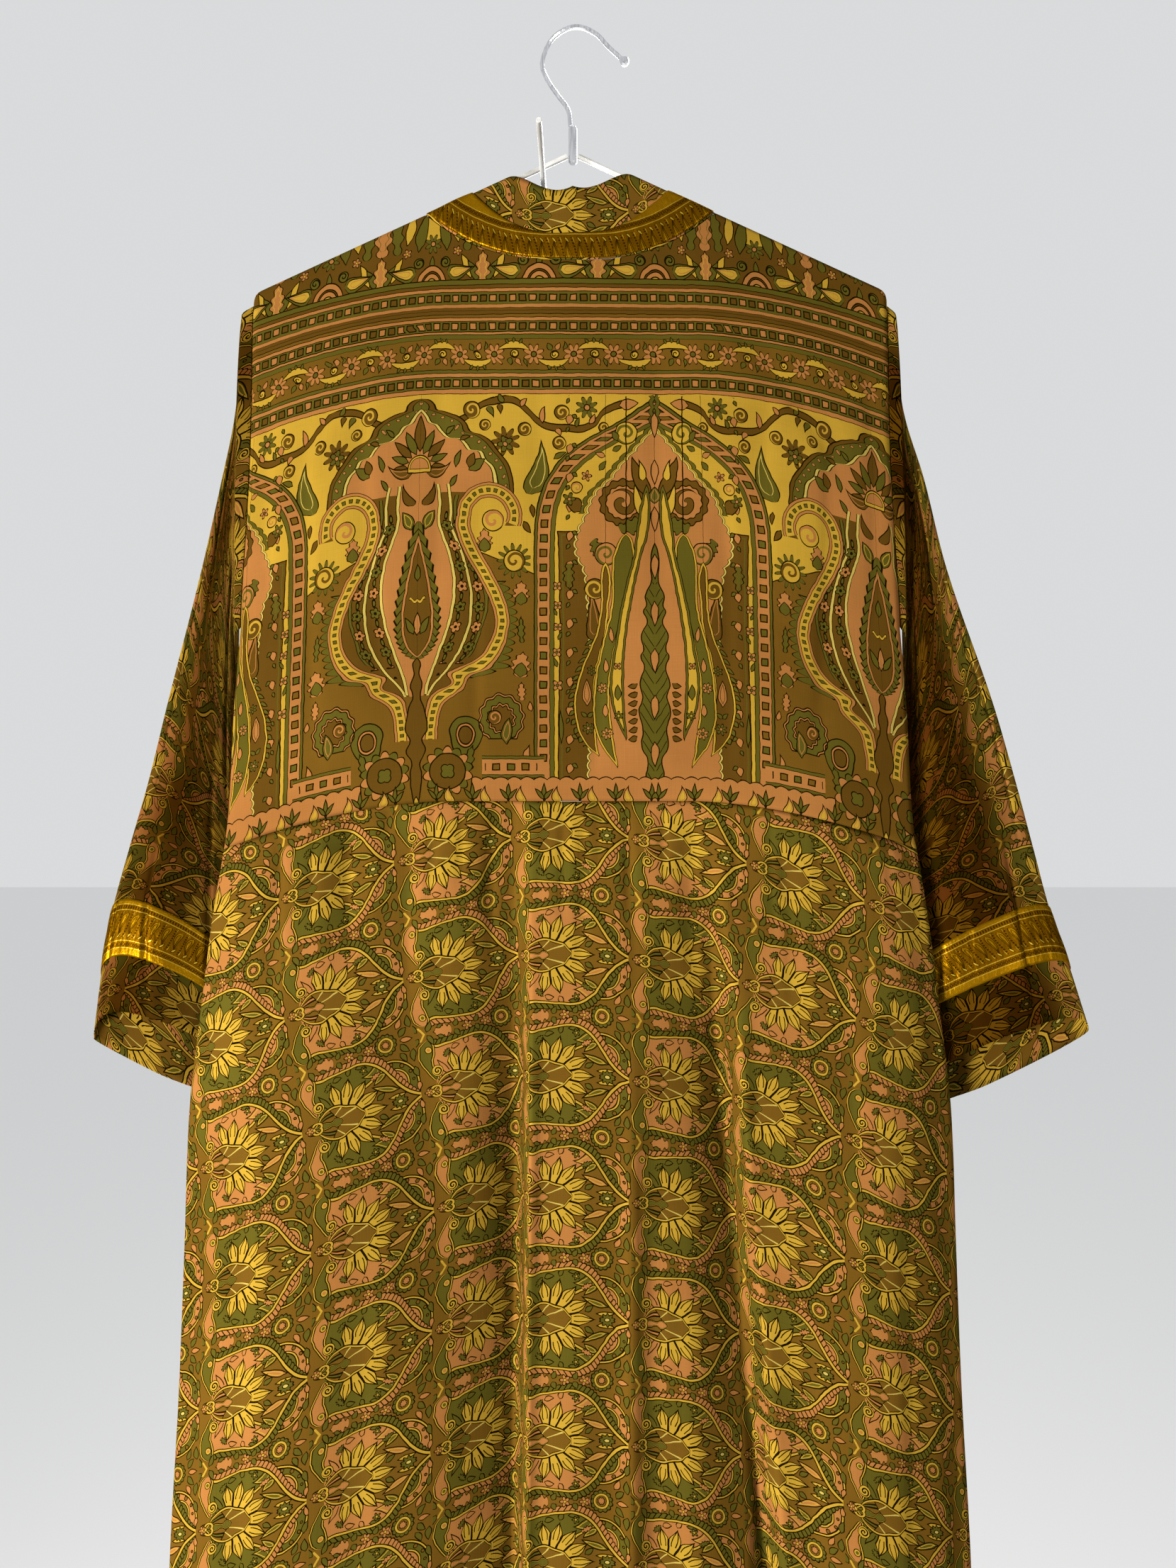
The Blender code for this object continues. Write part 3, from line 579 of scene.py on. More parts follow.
def make_front(side, word, finish):
    places = spread(76)
    insets = round_fold(9, 80, 0)
    drops = np.concatenate([round_fold(9, 0, 80), spread(210, EVEN_START, FRONT_ROWS_LENGTH)])
    top_u = np.concatenate([mix(NECK_HALF, TOP_HALF_WIDTH - EVEN_START, places), TOP_HALF_WIDTH - insets])
    top = shoulder_z(side * top_u)
    reach = (top - hem_z(top_u)) / drops[-1]
    stretch = mix(1, reach[None, :], smooth((drops[:, None] - 12) / 200))
    z = top[None, :] - drops[:, None] * stretch
    seam_u = front_line(top[None, :] - z)[0]
    even = len(places)
    inner = mix(seam_u[:, :even], half_width(z[:, :even]) - EVEN_START, places[None, :])
    outer = half_width(z[:, even:]) - insets[None, :]
    u = np.concatenate([inner, outer], axis=1)
    points = front_cloth_point(side, side * u, z, u - seam_u)
    across = grid_lengths(points, 1)
    flat = np.stack([side * (across + FRONT_START), z + skirt_droop(u)], axis=-1)
    obj = add_cloth("front_" + word + "_silk", points, flat, "front_" + word, finish, TOWARDS_WALL)


def lifted(surface, a, b, lift, step=0.004):
    along = surface(a + step, b) - surface(a - step, b)
    across = surface(a, b + step) - surface(a, b - step)
    normal = np.cross(along, across)
    normal /= np.linalg.norm(normal, axis=-1, keepdims=True)
    return surface(a, b) + normal * np.asarray(lift)[..., None]


def raised(surface, a, b, probe, outward, height):
    """A strip on a surface, on the side that looks outward at the probe, over the gap and its own height."""
    at_a, at_b = (np.array([value]) for value in probe)
    looks = ((lifted(surface, at_a, at_b, np.array([1])) - surface(at_a, at_b)) @ outward)[0]
    return lifted(surface, a, b, (1 if looks > 0 else -1) * (GAP + height))


def strip_round(share):
    """How full a woven strip is across its width."""
    return np.sin(pi * share) ** 0.5


def neck_flat(points):
    """The flat places of a strip round the neck, measured from its middle column."""
    lengths = grid_lengths(points, 1)
    middle = NECK_HALF_COLUMNS - 1
    return np.stack([lengths - lengths[:, middle:middle + 1], grid_lengths(points, 0)], axis=-1)


def make_neck_band(silk, gold):
    half = 1 - (1 - spread(NECK_HALF_COLUMNS)) ** NECK_CROWDING
    lines = np.concatenate([-half[:0:-1], half])
    points = neck_band_point(*np.meshgrid(lines, spread(17)))
    flat = neck_flat(points)
    band = add_cloth("neck_band_silk", points, flat, "neck_band", silk, TOWARDS_VIEWER)

    lines = lines * (1 - BORDER_SHORTER)
    top = mix(BORDER_AT_CENTRE, BORDER_AT_SHOULDER, lines**2)
    share = spread(NECK_GOLD_ROWS)[:, None]
    along = np.broadcast_to(lines, (NECK_GOLD_ROWS, len(lines)))
    across = mix(BORDER_START, top[None, :], share)
    bumps = 0.35 * (1 + np.sin(along * 37 + 5 * share) * np.sin(along * 17 + 2))
    points = raised(neck_band_point, along, across, (0.1, 0.5), TOWARDS_VIEWER, bumps * strip_round(share))
    flat = neck_flat(points)
    border = add_cloth("neck_gold", points, flat, "neck_border", gold, TOWARDS_VIEWER, GOLD, grow=1)


def make_front_band(side, word, silk, gold):
    length = float(ridge_z(side * NECK_HALF) - hem_z(FRONT_SEAM_LOW))
    drops = np.concatenate([round_fold(9, 0, 80), spread(200, EVEN_START, length)])
    surface = partial(front_band_point, side)
    across, drop = np.meshgrid(spread(17), drops)
    points = surface(drop, across)
    flat = np.stack([grid_lengths(points, 0), side * grid_lengths(points, 1)], axis=-1)
    band = add_cloth("front_band_" + word + "_silk", points, flat, "front_band_" + word, silk, TOWARDS_WALL)

    drops[0] = 0.1
    share = spread(11)
    across, drop = np.meshgrid(mix(BORDER_START, BORDER_AT_SHOULDER, share), drops)
    bumps = 0.3 * (1 + np.sin(drop / 9 + 3 * across) * np.sin(drop / 23))
    points = raised(surface, drop, across, (200, 0.5), TOWARDS_WALL, bumps * strip_round(share)[None, :])
    flat = np.stack([grid_lengths(points, 0), grid_lengths(points, 1)], axis=-1)
    name = "front_" + word + "_gold"
    border = add_cloth(name, points, flat, "front_border_" + word, gold, TOWARDS_WALL, GOLD, grow=1)


def make_sleeve(side, word, silk, gold):
    runs = np.concatenate([spread(8, 0, SLEEVE_HEAD_RUN), spread(116, 16, SLEEVE_LENGTH)])
    turns = np.arange(SLEEVE_COLUMNS) / SLEEVE_COLUMNS
    surface = partial(sleeve_point, side)
    turn, run = np.meshgrid(turns, runs)
    points = surface(run, turn)
    flat = np.stack([joined_round(run), grid_lengths(joined_round(points), 1)], axis=-1)
    sleeve = add_cloth("sleeve_" + word + "_silk", points, flat, "sleeve_" + word, silk, None, closed=True)

    runs = spread(24, CUFF_START, CUFF_END)
    turn, run = np.meshgrid(turns, runs)
    share = (runs - CUFF_START) / (CUFF_END - CUFF_START)
    bumps = 0.3 * (1 + np.sin(turn * 100 * pi) * np.sin(turn * 26 * pi + run / 9))
    points = raised(surface, run, turn, (490, 0.25), TOWARDS_VIEWER, bumps * strip_round(share)[:, None])
    flat = np.stack([grid_lengths(joined_round(points), 1), joined_round(run) - CUFF_START], axis=-1)
    name = "cuff_" + word + "_gold"
    cuff = add_cloth(name, points, flat, "cuff_border_" + word, gold, None, GOLD, closed=True, grow=1)


def srgb(red, green, blue, depth=1):
    """Linear colour of what shows as 0 to 255, taken down by depth."""
    share = [value / 255 for value in (red, green, blue)]
    return tuple(depth * (v / 12.92 if v <= 0.04045 else ((v + 0.055) / 1.055) ** 2.4) for v in share) + (1,)


# The studio's light is stronger than a room's, so the inks are deeper than they show
INK_DEPTH = 0.17
OUTLINE_GROWTH = 0.34
INK = {
    "ground": srgb(148, 108, 36, INK_DEPTH),
    "brown": srgb(128, 92, 30, INK_DEPTH),
    "yellow": srgb(246, 198, 68, INK_DEPTH),
    "salmon": srgb(226, 152, 80, INK_DEPTH),
    "green": srgb(122, 112, 38, INK_DEPTH),
    "line": srgb(36, 27, 8, INK_DEPTH),
    "pale": srgb(255, 226, 112, INK_DEPTH),
}


class Number:
    """A value in a material's tree, or a plain number, that is worked on with ordinary arithmetic."""

    def __init__(self, tree, source):
        self.tree = tree
        self.source = source

    def work(self, operation, *others, clamp=False):
        node = self.tree.nodes.new("ShaderNodeMath")
        node.operation = operation
        node.use_clamp = clamp
        for socket, value in zip(node.inputs, (self,) + others):
            source = value.source if isinstance(value, Number) else value
            if isinstance(source, (int, float)):
                socket.default_value = source
            else:
                self.tree.links.new(source, socket)
        return Number(self.tree, node.outputs[0])

    def __add__(self, other):
        return self.work("ADD", other)

    def __sub__(self, other):
        return self.work("SUBTRACT", other)

    def __mul__(self, other):
        return self.work("MULTIPLY", other)

    def __truediv__(self, other):
        return self.work("DIVIDE", other)

    def __rsub__(self, other):
        return Number(self.tree, float(other)).work("SUBTRACT", self)

    def __lt__(self, other):
        return self.work("LESS_THAN", other)

    def __gt__(self, other):
        return self.work("GREATER_THAN", other)

    def __abs__(self):
        return self.work("ABSOLUTE")

    def fraction(self):
        return self.work("FRACT")

    def floor(self):
        return self.work("FLOOR")

    def least(self, other):
        return self.work("MINIMUM", other)

    def most(self, other):
        return self.work("MAXIMUM", other)

    def root(self):
        return self.work("SQRT")

    def sine(self):
        return self.work("SINE")

    def angle(self, across):
        return self.work("ARCTAN2", across)

    def near(self, value, reach):
        """1 where this is within reach of value."""
        return abs(self - value) < reach

    def between(self, low, high):
        return abs(self - (low + high) / 2) < (high - low) / 2

    def curve(self, points):
        """A smooth curve through (input, output) points."""
        node = self.tree.nodes.new("ShaderNodeFloatCurve")
        mapping = node.mapping
        mapping.use_clip = False
        line = mapping.curves[0]
        line.points[0].location = points[0]
        line.points[1].location = points[-1]
        for point in points[1:-1]:
            line.points.new(*point)
        mapping.extend = "HORIZONTAL"
        mapping.update()
        self.tree.links.new(self.source, node.inputs["Value"])
        return Number(self.tree, node.outputs[0])


def length_of(x, y):
    return (x * x + y * y).root()


def polar(x, y, place):
    """Distance and angle from a place."""
    out_x, out_y = x - place[0], y - place[1]
    return length_of(out_x, out_y), out_y.angle(out_x)


def set_or_link(tree, socket, colour):
    if isinstance(colour, tuple):
        socket.default_value = colour
    else:
        tree.links.new(colour, socket)


class Print:
    """Inks laid over one another on the flat cloth. Places are millimetres on the cloth."""

    def __init__(self, tree, colour, inks=INK):
        self.tree = tree
        self.inks = inks
        self.colour = inks[colour] if isinstance(colour, str) else colour

    def choose(self, share, first, second):
        """One ink or the other, by a share that is 0 or 1."""
        node = self.tree.nodes.new("ShaderNodeMix")
        node.data_type = "RGBA"
        self.tree.links.new(share.source, node.inputs[0])
        for socket, ink in zip(node.inputs[6:8], (first, second)):
            set_or_link(self.tree, socket, self.inks[ink] if isinstance(ink, str) else ink)
        return node.outputs[2]

    def lay(self, where, ink):
        self.colour = self.choose(where, self.colour, ink)

    def rims(self, inside, *rims):
        """Lays an ink wherever inside passes each rim's depth."""
        for depth, ink in rims:
            self.lay(inside > depth, ink)

    def rings(self, away, *rings):
        """Lays an ink wherever away is less than each ring's reach."""
        for reach, ink in rings:
            self.lay(away < reach, ink)

    def shape(self, inside, fill, line=0.5):
        """A filled shape with an outline. inside is the distance in from its edge."""
        self.rims(inside, (0, "line"), (line + OUTLINE_GROWTH, fill))


# Half width along a shape, from its base at 0 to its tip at 1
LEAF = ((0, 0), (0.12, 0.45), (0.38, 1), (0.7, 0.72), (0.9, 0.28), (1, 0))
DROP = ((0, 0), (0.04, 0.5), (0.2, 1), (0.45, 0.82), (0.75, 0.36), (1, 0))
SAW = ((0, 0), (0.1, 0.7), (0.18, 0.5), (0.34, 1), (0.42, 0.7), (0.58, 0.95), (0.66, 0.55), (0.8, 0.6),
       (0.86, 0.3), (1, 0))

Leaf = namedtuple("Leaf", "x y angle length half fill form bend heart", defaults=(LEAF, 0, None))
LEAF_GROUPS = {}


def leaf_group(form, hearted):
    """The node group that draws leaves of one form, with a heart or without."""
    key = (form, hearted)
    if key in LEAF_GROUPS:
        return LEAF_GROUPS[key]
    group = bpy.data.node_groups.new("leaf", "ShaderNodeTree")
    kinds = {"Float": ("Half", "Bend", "Line"), "Vector": ("Place", "Along", "Across"),
             "Color": ("Under", "Outline", "Fill", "Heart")}
    for kind, names in kinds.items():
        for name in names:
            group.interface.new_socket(name, in_out="INPUT", socket_type="NodeSocket" + kind)
    group.interface.new_socket("Over", in_out="OUTPUT", socket_type="NodeSocketColor")
    enter = group.nodes.new("NodeGroupInput")
    leave = group.nodes.new("NodeGroupOutput")
    parts = []
    for name in ("Along", "Across"):
        node = group.nodes.new("ShaderNodeVectorMath")
        node.operation = "DOT_PRODUCT"
        group.links.new(enter.outputs["Place"], node.inputs[0])
        group.links.new(enter.outputs[name], node.inputs[1])
        parts.append(Number(group, node.outputs["Value"]))
    along, across = parts
    half, bend, line = (Number(group, enter.outputs[name]) for name in ("Half", "Bend", "Line"))
    across = abs(across - along * (1 - along) * bend)
    inside = (along.curve(form) - across) * half
    sheet = Print(group, enter.outputs["Under"])
    sheet.lay(inside > 0, enter.outputs["Outline"])
    sheet.lay(inside > line, enter.outputs["Fill"])
    if hearted:
        inner = ((along * 1.35 - 0.17).curve(form) * 0.55 - across) * half
        sheet.lay(inner.near(0.3, 0.32) * (inside > line), enter.outputs["Heart"])
    group.links.new(sheet.colour, leave.inputs[0])
    LEAF_GROUPS[key] = group
    return group


def draw_leaf(sheet, x, y, leaf, line=0.55):
    """A leaf, drop or serrated leaf with an outline, and with a heart of another ink where it has one."""
    tree = sheet.tree
    place = tree.nodes.new("ShaderNodeCombineXYZ")
    tree.links.new(x.source, place.inputs[0])
    tree.links.new(y.source, place.inputs[1])
    place.inputs[2].default_value = 1
    node = tree.nodes.new("ShaderNodeGroup")
    node.node_tree = leaf_group(leaf.form, leaf.heart is not None)
    tree.links.new(place.outputs[0], node.inputs["Place"])
    turn = radians(leaf.angle)
    ways = {"Along": (cos(turn), sin(turn), leaf.length), "Across": (-sin(turn), cos(turn), leaf.half)}
    for name, (right, up, unit) in ways.items():
        start = leaf.x * right + leaf.y * up
        node.inputs[name].default_value = (right / unit, up / unit, -start / unit)
    node.inputs["Half"].default_value = leaf.half + OUTLINE_GROWTH
    node.inputs["Bend"].default_value = 4 * leaf.bend
    node.inputs["Line"].default_value = line + OUTLINE_GROWTH
    colours = {"Under": sheet.colour, "Outline": sheet.inks["line"], "Fill": sheet.inks[leaf.fill]}
    if leaf.heart:
        colours["Heart"] = sheet.inks[leaf.heart]
    for name, colour in colours.items():
        set_or_link(tree, node.inputs[name], colour)
    sheet.colour = node.outputs[0]


def draw_leaves(sheet, x, y, leaves, line=0.55):
    for leaf in leaves:
        draw_leaf(sheet, x, y, leaf, line)


def in_group(sheet, name, draw, *places):
    """Draws in a node group of its own, so that each tree stays short."""
    group = bpy.data.node_groups.new(name, "ShaderNodeTree")
    group.interface.new_socket("Under", in_out="INPUT", socket_type="NodeSocketColor")
    for k in range(len(places)):
        group.interface.new_socket("Place" + str(k), in_out="INPUT", socket_type="NodeSocketFloat")
    group.interface.new_socket("Over", in_out="OUTPUT", socket_type="NodeSocketColor")
    enter = group.nodes.new("NodeGroupInput")
    leave = group.nodes.new("NodeGroupOutput")
    inner = Print(group, enter.outputs[0])
    draw(inner, *(Number(group, enter.outputs[1 + k]) for k in range(len(places))))
    group.links.new(inner.colour, leave.inputs[0])
    node = sheet.tree.nodes.new("ShaderNodeGroup")
    node.node_tree = group
    set_or_link(sheet.tree, node.inputs[0], sheet.colour)
    for k, place in enumerate(places):
        sheet.tree.links.new(place.source, node.inputs[1 + k])
    sheet.colour = node.outputs[0]


# The skirt's repeat: a pod from its knot at x = 0 to the next pod's knot, on one side of its axis
CELL_LONG = 88
CELL_HIGH = 87
CELL_START = -6
POD_ARM = ((4, 36.5), (8.5, 34), (17.7, 34.6), (31, 36.2), (41, 36.6), (49, 33.6), (55.5, 28.2), (61.5, 19.7),
           (67.5, 11.4), (74, 5.2), (82, 1.2))
POD_CORE = ((0, 0.8), (3, 3.4), (8, 9.2), (14, 12.4), (20, 12.8), (26, 10.6), (30, 9.4), (33, 8.2),
            (35.2, 5.8), (36.6, 4.2), (38.4, 2.6), (39.2, 0))
PETAL_REACH = ((0, 33.5), (0.5, 31.5), (1.05, 30.5), (1.6, 28.5), (2.1, 27), (3.2, 24))
PETAL_WIDTH = ((0, 0.3), (0.3, 2.6), (0.48, 4.5), (0.6, 5.2), (0.72, 4.6), (0.86, 2.6), (1, 0),
               (1.3, -6))
PETAL_LINE = 0.42
PETAL_SPACING = radians(24.5)
PETAL_CENTRE = 22
PETAL_SPREAD = radians(111)
LEAN_FORM = ((-8, 1.5), (0, 4.6), (6, 2.6), (14, -0.4), (22, 0.4), (30, 2.4))
SCALE_WIDTH = ((0, 3.9), (66, 3.9), (75, 2.6), (81, 0.4))
ARM_STEEPNESS = ((4, 1), (46, 1), (56, 1.5), (62, 1.75), (68, 1.6), (76, 1.2), (84, 1))
HEART_FORM = ((1.5, 0), (5, 2.6), (10, 2.9), (15, 2), (17.5, 3.6), (20.5, 2.6), (22.5, 0))
BOTEH_FORM = ((0, 0), (0.05, 2.8), (0.25, 4), (0.5, 5.2), (0.75, 6.6), (0.9, 5.4), (1, 0))

POD_LEAVES = table(Leaf,
    (66, 9, 160, 22, 2.7, "other", LEAF, 0.3, "yellow"),
    (58.5, 24, 212, 13.5, 2.8, "green", LEAF, -0.3, "yellow"),
    (54, 30.5, 198, 15.5, 4.4, "other", DROP, 0.5, "yellow"), (30, 30, 62, 6.5, 2.2, "other", LEAF, 0.2),
    (13, 24, 48, 8, 2.4, "green", SAW), (19, 29, 12, 7.5, 2.2, "other", LEAF, 0.4),
    (48, 5.6, 32, 8, 2.3, "green"), (36, 33.6, -8, 9, 1.7, "green", LEAF, 0.3),
    (46, 22, 24, 9, 2.4, "comb", SAW), (56, 4.2, 4, 15, 1.8, "yellow", LEAF, -0.2),
)
BETWEEN_LEAVES = table(Leaf,
    (22, 0, 180, 14, 5.6, "salmon", SAW), (24.5, 1, 62, 6.2, 2.4, "green"), (40, 0.6, 62, 6.2, 2.3, "green"),
    (53.5, 0, 180, 6, 3.4, "salmon", SAW), (71, 2.6, 48, 9, 2.6, "green", LEAF, 0.3),
    (71, 0, 0, 9.5, 2.2, "salmon"), (3, 1, 66, 9.5, 2.3, "green", LEAF, -0.3), (11, 3, 22, 6, 1.8, "green"),
    (-3.5, 2, 118, 9, 2.6, "green", LEAF, 0.3), (80, 8, 96, 10, 2.7, "green", LEAF, 0.3),
    (69.5, 9, 62, 9, 2.3, "other", LEAF, -0.3), (78.5, 21, 74, 9.5, 2.4, "green", LEAF, 0.3),
    (80.5, 33, 100, 7.5, 2.1, "salmon"),
)


def flat_places(tree, along_sleeve=False):
    """The two coordinates on the flat cloth, in millimetres."""
    mapped = tree.nodes.new("ShaderNodeUVMap")
    mapped.uv_map = "flat"
    parts = tree.nodes.new("ShaderNodeSeparateXYZ")
    tree.links.new(mapped.outputs[0], parts.inputs[0])
    across, along = (Number(tree, parts.outputs[k]) * 1000 for k in (0, 1))
    return (along, across) if along_sleeve else (across, along)


def repeat(value, start, size):
    """Place inside the repeat that starts at start, and the repeat's whole number."""
    turns = (value - start) / size
    whole = turns.floor()
    return (turns - whole) * size, whole


def draw_pods(tree, x, y, knot):
    """The all-over print: mirrored pods in an ogee net, and chains of medallions between their rows."""
    along, column = repeat(x, knot[0] + CELL_START, CELL_LONG)
    along = along + CELL_START
    high, row = repeat(y, knot[1] - CELL_HIGH / 2, CELL_HIGH)
    off = abs(high - CELL_HIGH / 2)
    turn = ((column + row) * 0.5).fraction() > 0.25
    sheet = Print(tree, "ground")
    by_turns = {"comb": sheet.choose(turn, "green", "salmon"), "other": sheet.choose(turn, "salmon", "green")}
    sheet.inks = {**INK, **by_turns}

    below = off - along.curve(POD_ARM)
    lean = (off - 8).curve(LEAN_FORM)
    inside_pod = (below < 0) * (along > lean)

    # The lobe to the right of the arm, with its inner ring and dots
    lobe = 22 - length_of(along - 59.5, off - 10)
    sheet.shape(lobe, "yellow", 0.45)
    sheet.rims(lobe, (1.7, "line"), (2.6, "other"))
    ring = 11.5 - length_of(along - 62.5, off - 13.5)
    sheet.shape(ring, "yellow", 0.3)
    sheet.rims(ring, (1.5, "line"), (2.3, "comb"))
    for dot_x, dot_y, radius in ((62, 28, 1.7), (69.5, 25.2, 1.8), (75, 19.6, 1.5), (76.6, 13.4, 1.2)):
        sheet.shape(radius - length_of(along - dot_x, off - dot_y), "ground", 0.3)

    # Inside the pod: the second ink along the arm, the ground round the axis
    sheet.lay(inside_pod, "ground")
    beyond = off - ((along - 21) * 0.52 + 8)
    sheet.lay(inside_pod * (beyond > 0), "other")
    ray = inside_pod * along.between(20, 60)
    sheet.lay(ray * (abs(beyond) < 1.6), "line")
    sheet.lay(ray * (abs(beyond) < 0.75), "yellow")
    draw_leaves(sheet, along, off, POD_LEAVES)

    # Petals fanned about the core, the shorter ones behind
    out_x = along - PETAL_CENTRE
    radius = length_of(out_x, off)
    bearing = off.angle(out_x)
    reach = radius / bearing.curve(PETAL_REACH)
    fanned = bearing < PETAL_SPREAD
    step = bearing / PETAL_SPACING + 0.5
    aside = abs(step.fraction() - 0.5) * radius * PETAL_SPACING
    room = radius * (PETAL_SPACING * 0.5)
    petal = (reach.curve(PETAL_WIDTH).least(room) - aside) * fanned
    sheet.shape(petal, "yellow", PETAL_LINE)
    drop = (reach * 1.32 - 0.3).curve(PETAL_WIDTH) * 0.36 - aside
    sheet.lay(abs(drop) + (reach < 0.56) * 9 < 0.36, "line")

    draw_flower(sheet, along, off, (42, 30.5), 3.2, 5, "green", "yellow")

    # The arm: a comb of scales outside a pair of yellow lines
    on_arm = along.between(6, 80)
    scales = (along * 0.8 - off * 0.55) / 3.1
    notch = abs(scales.fraction() - 0.5)
    outside = along.curve(SCALE_WIDTH) - notch * notch * 3.4
    thick = below / along.curve(ARM_STEEPNESS)
    sheet.lay((thick > 0) * ((thick - outside) < 0.9) * on_arm, "line")
    sheet.lay((thick > 0.5) * ((thick - outside) < 0) * (notch < 0.38) * on_arm, "comb")
    sheet.lay((abs(thick + 1) < 1.65) * on_arm, "line")
    sheet.lay((abs(thick + 1) < 0.8) * on_arm, "yellow")

    # The core of the lotus, its ribs and its heart
    core = (along.curve(POD_CORE) - off) * (along > 0.2)
    sheet.shape(core, "yellow", 0.6)
    sheet.rims(core, (2, "line"), (2.6, "ground"))
    share = off / along.curve(POD_CORE)
    split = along + off * 0.7
    behind = (core > 2.2) * (split < 21)
    sheet.lay(behind * (share > 0.42), "other")
    sheet.lay(behind * share.near(0.45, 0.05), "line")
    sheet.lay(behind * (share > 0.62), "ground")
    sheet.lay(behind * share.near(0.64, 0.045), "line")
    ribs = off.angle(along - 12)
    rib = (abs(ribs - 0.30) < 0.028).most(abs(ribs - 0.78) < 0.034)
    ahead = (core > 2.2) * (split > 21)
    sheet.lay((core > 2.2) * split.near(21, 0.4), "line")
    sheet.lay(ahead * rib, "pale")
    heart = along.curve(HEART_FORM) - off
    sheet.shape(heart, "yellow", 0.45)
    sheet.rims(heart, (1, "line"), (1.35, "other"))

    # The knot and the hooked boteh beside it
    loop = abs(length_of((along - 3.6) * 0.75, off - 1.6) - 2.4)
    sheet.rings(loop, (1, "line"), (0.55, "yellow"))
    boteh = ((off - 8) / 30).curve(BOTEH_FORM) - abs(along - lean)
    sheet.shape(boteh, "yellow", 0.4)
    sheet.rims(boteh, (1.5, "line"), (2.3, "comb"))
    bulb = length_of(along - 2.2, off - 31.2)
    sheet.rings(bulb, (2.7, "line"), (2.1, "yellow"), (1.2, "other"))
    curl, curl_angle = polar(along, off, (6.6, 14.6))
    sheet.rings(curl, (4.4, "line"), (3.9, "yellow"))
    wound = (curl / 2.1 + curl_angle / (2 * pi)).fraction()
    sheet.lay((curl < 3.3) * (wound < 0.5), "line")

    draw_flower(sheet, along, off, (-2, 0), 3.6, 5, "salmon", "yellow")

    # The serrated seed on the axis
    seed_x = along - 64.5
    seed = (off.angle(seed_x) * 9).sine() * 0.7 + 4.6 - length_of(seed_x * 0.85, off)
    sheet.shape(seed, "green", 0.6)
    sheet.rings(length_of(seed_x * 0.6, off), (1.5, "line"), (1, "pale"))

    # Between the rows: a chain of leaves, blossoms and a ringed medallion
    gap_side = CELL_HIGH / 2 - off
    chevron = abs(along + gap_side * 0.7 - 1)
    sheet.lay((chevron < 0.9) * (gap_side < 5.2), "yellow")
    draw_leaves(sheet, along, gap_side, BETWEEN_LEAVES, 0.5)
    for middle in (34, 48):
        draw_flower(sheet, along, gap_side, (middle, 0), 4.3, 5, "salmon", "yellow")
    medal_x = along - 60.5
    medal_angle = gap_side.angle(medal_x)
    medal = length_of(medal_x, gap_side)
    rim = abs((medal_angle * 6.5).sine()) * 1 + 7.6 - medal
    sheet.shape(rim, "green", 0.55)
    sheet.lay((rim > 0.5) * (abs((medal_angle * 6.5).sine()) < 0.2), "line")
    sheet.rings(medal, (5.9, "line"), (5.4, "yellow"), (4.1, "line"), (3.7, "ground"))
    bloom = abs((medal_angle * 4).sine()) * 0.8 + 2.2 - medal
    sheet.shape(bloom, "salmon", 0.4)
    return sheet.colour


# Stripes across the yoke, as (height of the stripe's top edge, ink), from the top down
YOKE_STRIPES = (
    (-84.3, "line"), (-84.9, "green"), (-88.3, "line"), (-88.8, "brown"), (-91, "line"), (-91.4, "salmon"),
    (-93.8, "line"), (-94.3, "green"), (-103.4, "line"), (-103.9, "salmon"), (-106.2, "line"),
    (-106.6, "brown"), (-108.4, "line"), (-108.8, "brown"), (-111.2, "line"), (-111.6, "ground"),
    (-113.6, "line"), (-114, "salmon"), (-116.3, "line"), (-116.7, "green"), (-124.3, "line"),
    (-124.9, "salmon"), (-126.3, "line"), (-126.9, "green"), (-129.8, "line"), (-130.3, "ground"),
    (-152.8, "line"),
)
LOWER_STRIPES = (
    (-152.8, "line"), (-153.3, "green"), (-155.2, "line"), (-155.7, "salmon"), (-158.1, "line"),
    (-158.6, "green"), (-166.9, "line"), (-167.4, "salmon"), (-170.2, "line"), (-170.7, "yellow"),
)
# Added to a place to keep a leaf off it
OUT_OF_REACH = 500
SQUARE_PITCH = 7.4
SQUARE_ROWS = (-98.9, -120.6, -162.8)
DAISY_Z = -141.5
DAISY_PITCH = 29

# The arch field: v is the distance from the lobed arch's axis, which the pointed arch's axis ends
LOBED_AXIS = -113
ARCH_STEP = 173.5
ARCH_TOP = -173.5
ARCH_BORDER = 84
POINTED_FORM = ((0, 0), (4, 7.5), (16, 25), (30, 50), (44, 68), (60, 79.5), (80, 86),
                (101, 87.8), (140, 88), (320, 88))
POINTED_SLOPE = ((0, 0.5), (16, 0.5), (30, 0.55), (44, 0.72), (60, 0.88), (80, 0.98), (101, 1),
                 (320, 1))
POINTED_LENGTH = ((0, 0), (16, 29.7), (30, 58.3), (44, 81.1), (60, 100.8), (80, 121.8), (101, 142.9),
                  (320, 362))
LOBED_FORM = ((0, 0), (1, 7), (4, 10.8), (8, 13), (9, 17), (11, 24), (14, 31.5), (18, 36),
              (24, 39.5), (26.5, 47), (31, 54.5), (38, 60), (49, 68), (61, 71), (90, 70))
LOBED_SLOPE = ((0, 0.35), (6, 0.6), (9, 0.4), (14, 0.42), (18, 0.7), (24, 0.6), (30, 0.6), (40, 0.75),
               (60, 0.95), (90, 1))
CUSP_FORM = ((7, 0), (9, 3), (13, 6.5), (17.5, 9.5), (19, 14), (24, 18.5), (28.5, 24), (29.5, 33),
             (33, 37), (37.5, 40.5), (38.5, 48), (44, 51), (50, 57), (62, 60), (90, 60))
